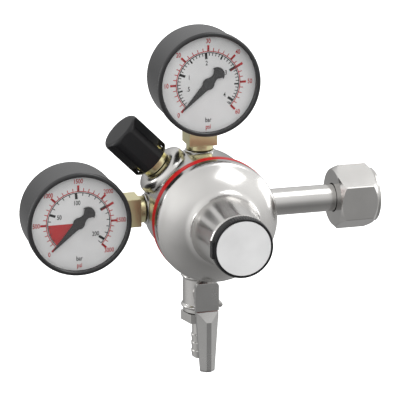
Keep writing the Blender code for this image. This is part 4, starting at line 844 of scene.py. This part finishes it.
stop_spot = Vector((STOP_REACH * math.cos(STOP_ANGLE) * MM, STOP_REACH * math.sin(STOP_ANGLE) * MM, 0))
stop = place(lever_axis @ stop_spot, FRONT, UP)
pin = soften(turned([(0, 3), (1.3, 3), (1.3, LEVER_BACK - 0.3), (0, LEVER_BACK - 0.3)], 24), 0.2)
valve = combined(valve, placed(pin, stop), 'UNION')
finish_piece('valve_shell', valve, nickel, 'regulator', ['outlet_valve_body'])

HEX_TOP = VALVE_END + 0.3
HEX_END = HEX_TOP + 4.7
BARB_START = HEX_END + 7.4
BARB_PITCH = 4.2
BARB_COUNT = 3
BARB_NECK = 3.9
BARB_CREST = 4.4

barb_profile = [(2.3, HEX_TOP - 3.4), (5.9, HEX_TOP - 3.4), (5.9, HEX_TOP), (9.5, HEX_TOP), (9.5, HEX_END),
                (BARB_NECK, HEX_END)]
for index in range(BARB_COUNT):
    foot = BARB_START + index * BARB_PITCH
    barb_profile += [(BARB_NECK, foot), (BARB_CREST - 0.15, foot + 0.12), (BARB_CREST, foot + 0.35)]
BARB_END = BARB_START + BARB_COUNT * BARB_PITCH
barb_profile += [(BARB_NECK, BARB_END - 0.6), (3.2, BARB_END), (2.3, BARB_END)]
barb_flats = hexagonal(HEX_FLATS, HEX_TOP - 5, BARB_END + 2, 0.25, 2)
hex_place = bottom_axis @ Matrix.Rotation(math.radians(HEX_TURN), 4, 'Z')
barb = combined(placed(turned(barb_profile, 60), bottom_axis), placed(barb_flats, hex_place), 'INTERSECT')
finish_piece('barb_shell', barb, nickel, 'regulator', ['hose_barb'])


# ---------------------------------------------------------------- lever
# A cast lever of darker satin steel: a flat plate over the stem, a bright ledge at its bend, and
# a tapering handle whose triangular facet runs into a raised ridge.

LEVER_FRONT = 14.0
HANDLE_TOP = -7.3
HANDLE_TIP = -38.3
HANDLE_FACE = LEVER_FRONT + 0.5
RIDGE = 2.6
HANDLE_LAP = 0.4             # how far the handle's root runs into the plate
HANDLE_WIDE = 11.4
LEVER_HUB = 4.6
HANDLE_NARROW = 7.4
HANDLE_ROWS = (              # share of the length, rise of the ridge, depth of the ledge
    (0.0, 0.0, 0.6),
    (0.019, 0.02, 0.0),
    (5.2 / 31.0, 1.0, 0.0),
    (0.96, 1.0, 0.0),
    (1.0, 0.8, 0.3),
)

steel = satin_metal('satin steel', (0.46, 0.455, 0.445), 0.26)
plate_outline = [*arc((4, 5.2), 2, 0, 90, 8), *arc((-4, 5.2), 2, 90, 180, 8), (-6, -7.3), (6, -7.3)]
plate = soften(flat_piece(plate_outline, LEVER_BACK, LEVER_FRONT), 0.3, 2)
handle = bmesh.new()
loops = []
for share, rise, sunk in HANDLE_ROWS:
    y = HANDLE_TOP + HANDLE_LAP + (HANDLE_TIP - HANDLE_TOP - HANDLE_LAP) * share
    half = (HANDLE_WIDE + (HANDLE_NARROW - HANDLE_WIDE) * share) / 2
    crest = 1.2 if rise > 0.5 else half - 0.6
    back = LEVER_BACK + (HANDLE_FACE - 1.4 - LEVER_BACK) * share
    face = HANDLE_FACE - sunk
    front = face + RIDGE * rise + 0.001
    section = [(-half, y, back), (half, y, back), (half, y, face), (crest, y, front), (-crest, y, front),
               (-half, y, face)]
    corners = [handle.verts.new(point) for point in section]
    loops.append([handle.edges.new((corners[index - 1], corners[index])) for index in range(6)])
for first, second in zip(loops, loops[1:]):
    bmesh.ops.bridge_loops(handle, edges=first + second)
for end in (loops[0], loops[-1]):
    bmesh.ops.contextual_create(handle, geom=end)
bmesh.ops.recalc_face_normals(handle, faces=handle.faces)
soften(handle, 0.16, 2, 15)
lever = combined(placed(plate, lever_axis), placed(handle, lever_axis), 'UNION')
hub_disc = turned([(0, LEVER_BACK - 0.7), (LEVER_HUB, LEVER_BACK - 0.7), (LEVER_HUB, LEVER_BACK + 1),
                   (0, LEVER_BACK + 1)], 40)
lever = combined(lever, placed(hub_disc, lever_axis), 'UNION')
finish_piece('lever_shell', lever, steel, 'shutoff_lever', ['outlet_lever'])


# ---------------------------------------------------------------- works inside
# Springs, seats, screws and the gauges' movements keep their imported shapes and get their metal.

finishes = {
    'satin_nickel': nickel, 'satin_steel': steel, 'brass': brass, 'red_plastic': red_moulding,
    'black_plastic': black_moulding, 'white_enamel': enamel, 'clear_window': clear.owner,
    'spring_steel': satin_metal('spring steel', (0.52, 0.52, 0.54), 0.30),
    'phosphor_bronze': satin_metal('phosphor bronze', (0.62, 0.38, 0.22), 0.34),
    'rubber': moulded('rubber', (0.03, 0.03, 0.03), 0.75),
    'seal_plastic': moulded('seal plastic', (0.80, 0.79, 0.75), 0.45),
}
slots = {part['node']: part['material_slot'] for part in frame['record']['subparts']}
for name, item in frame['nodes'].items():
    if not item.hide_render:
        item.data.materials.clear()
        item.data.materials.append(finishes[slots[name]])
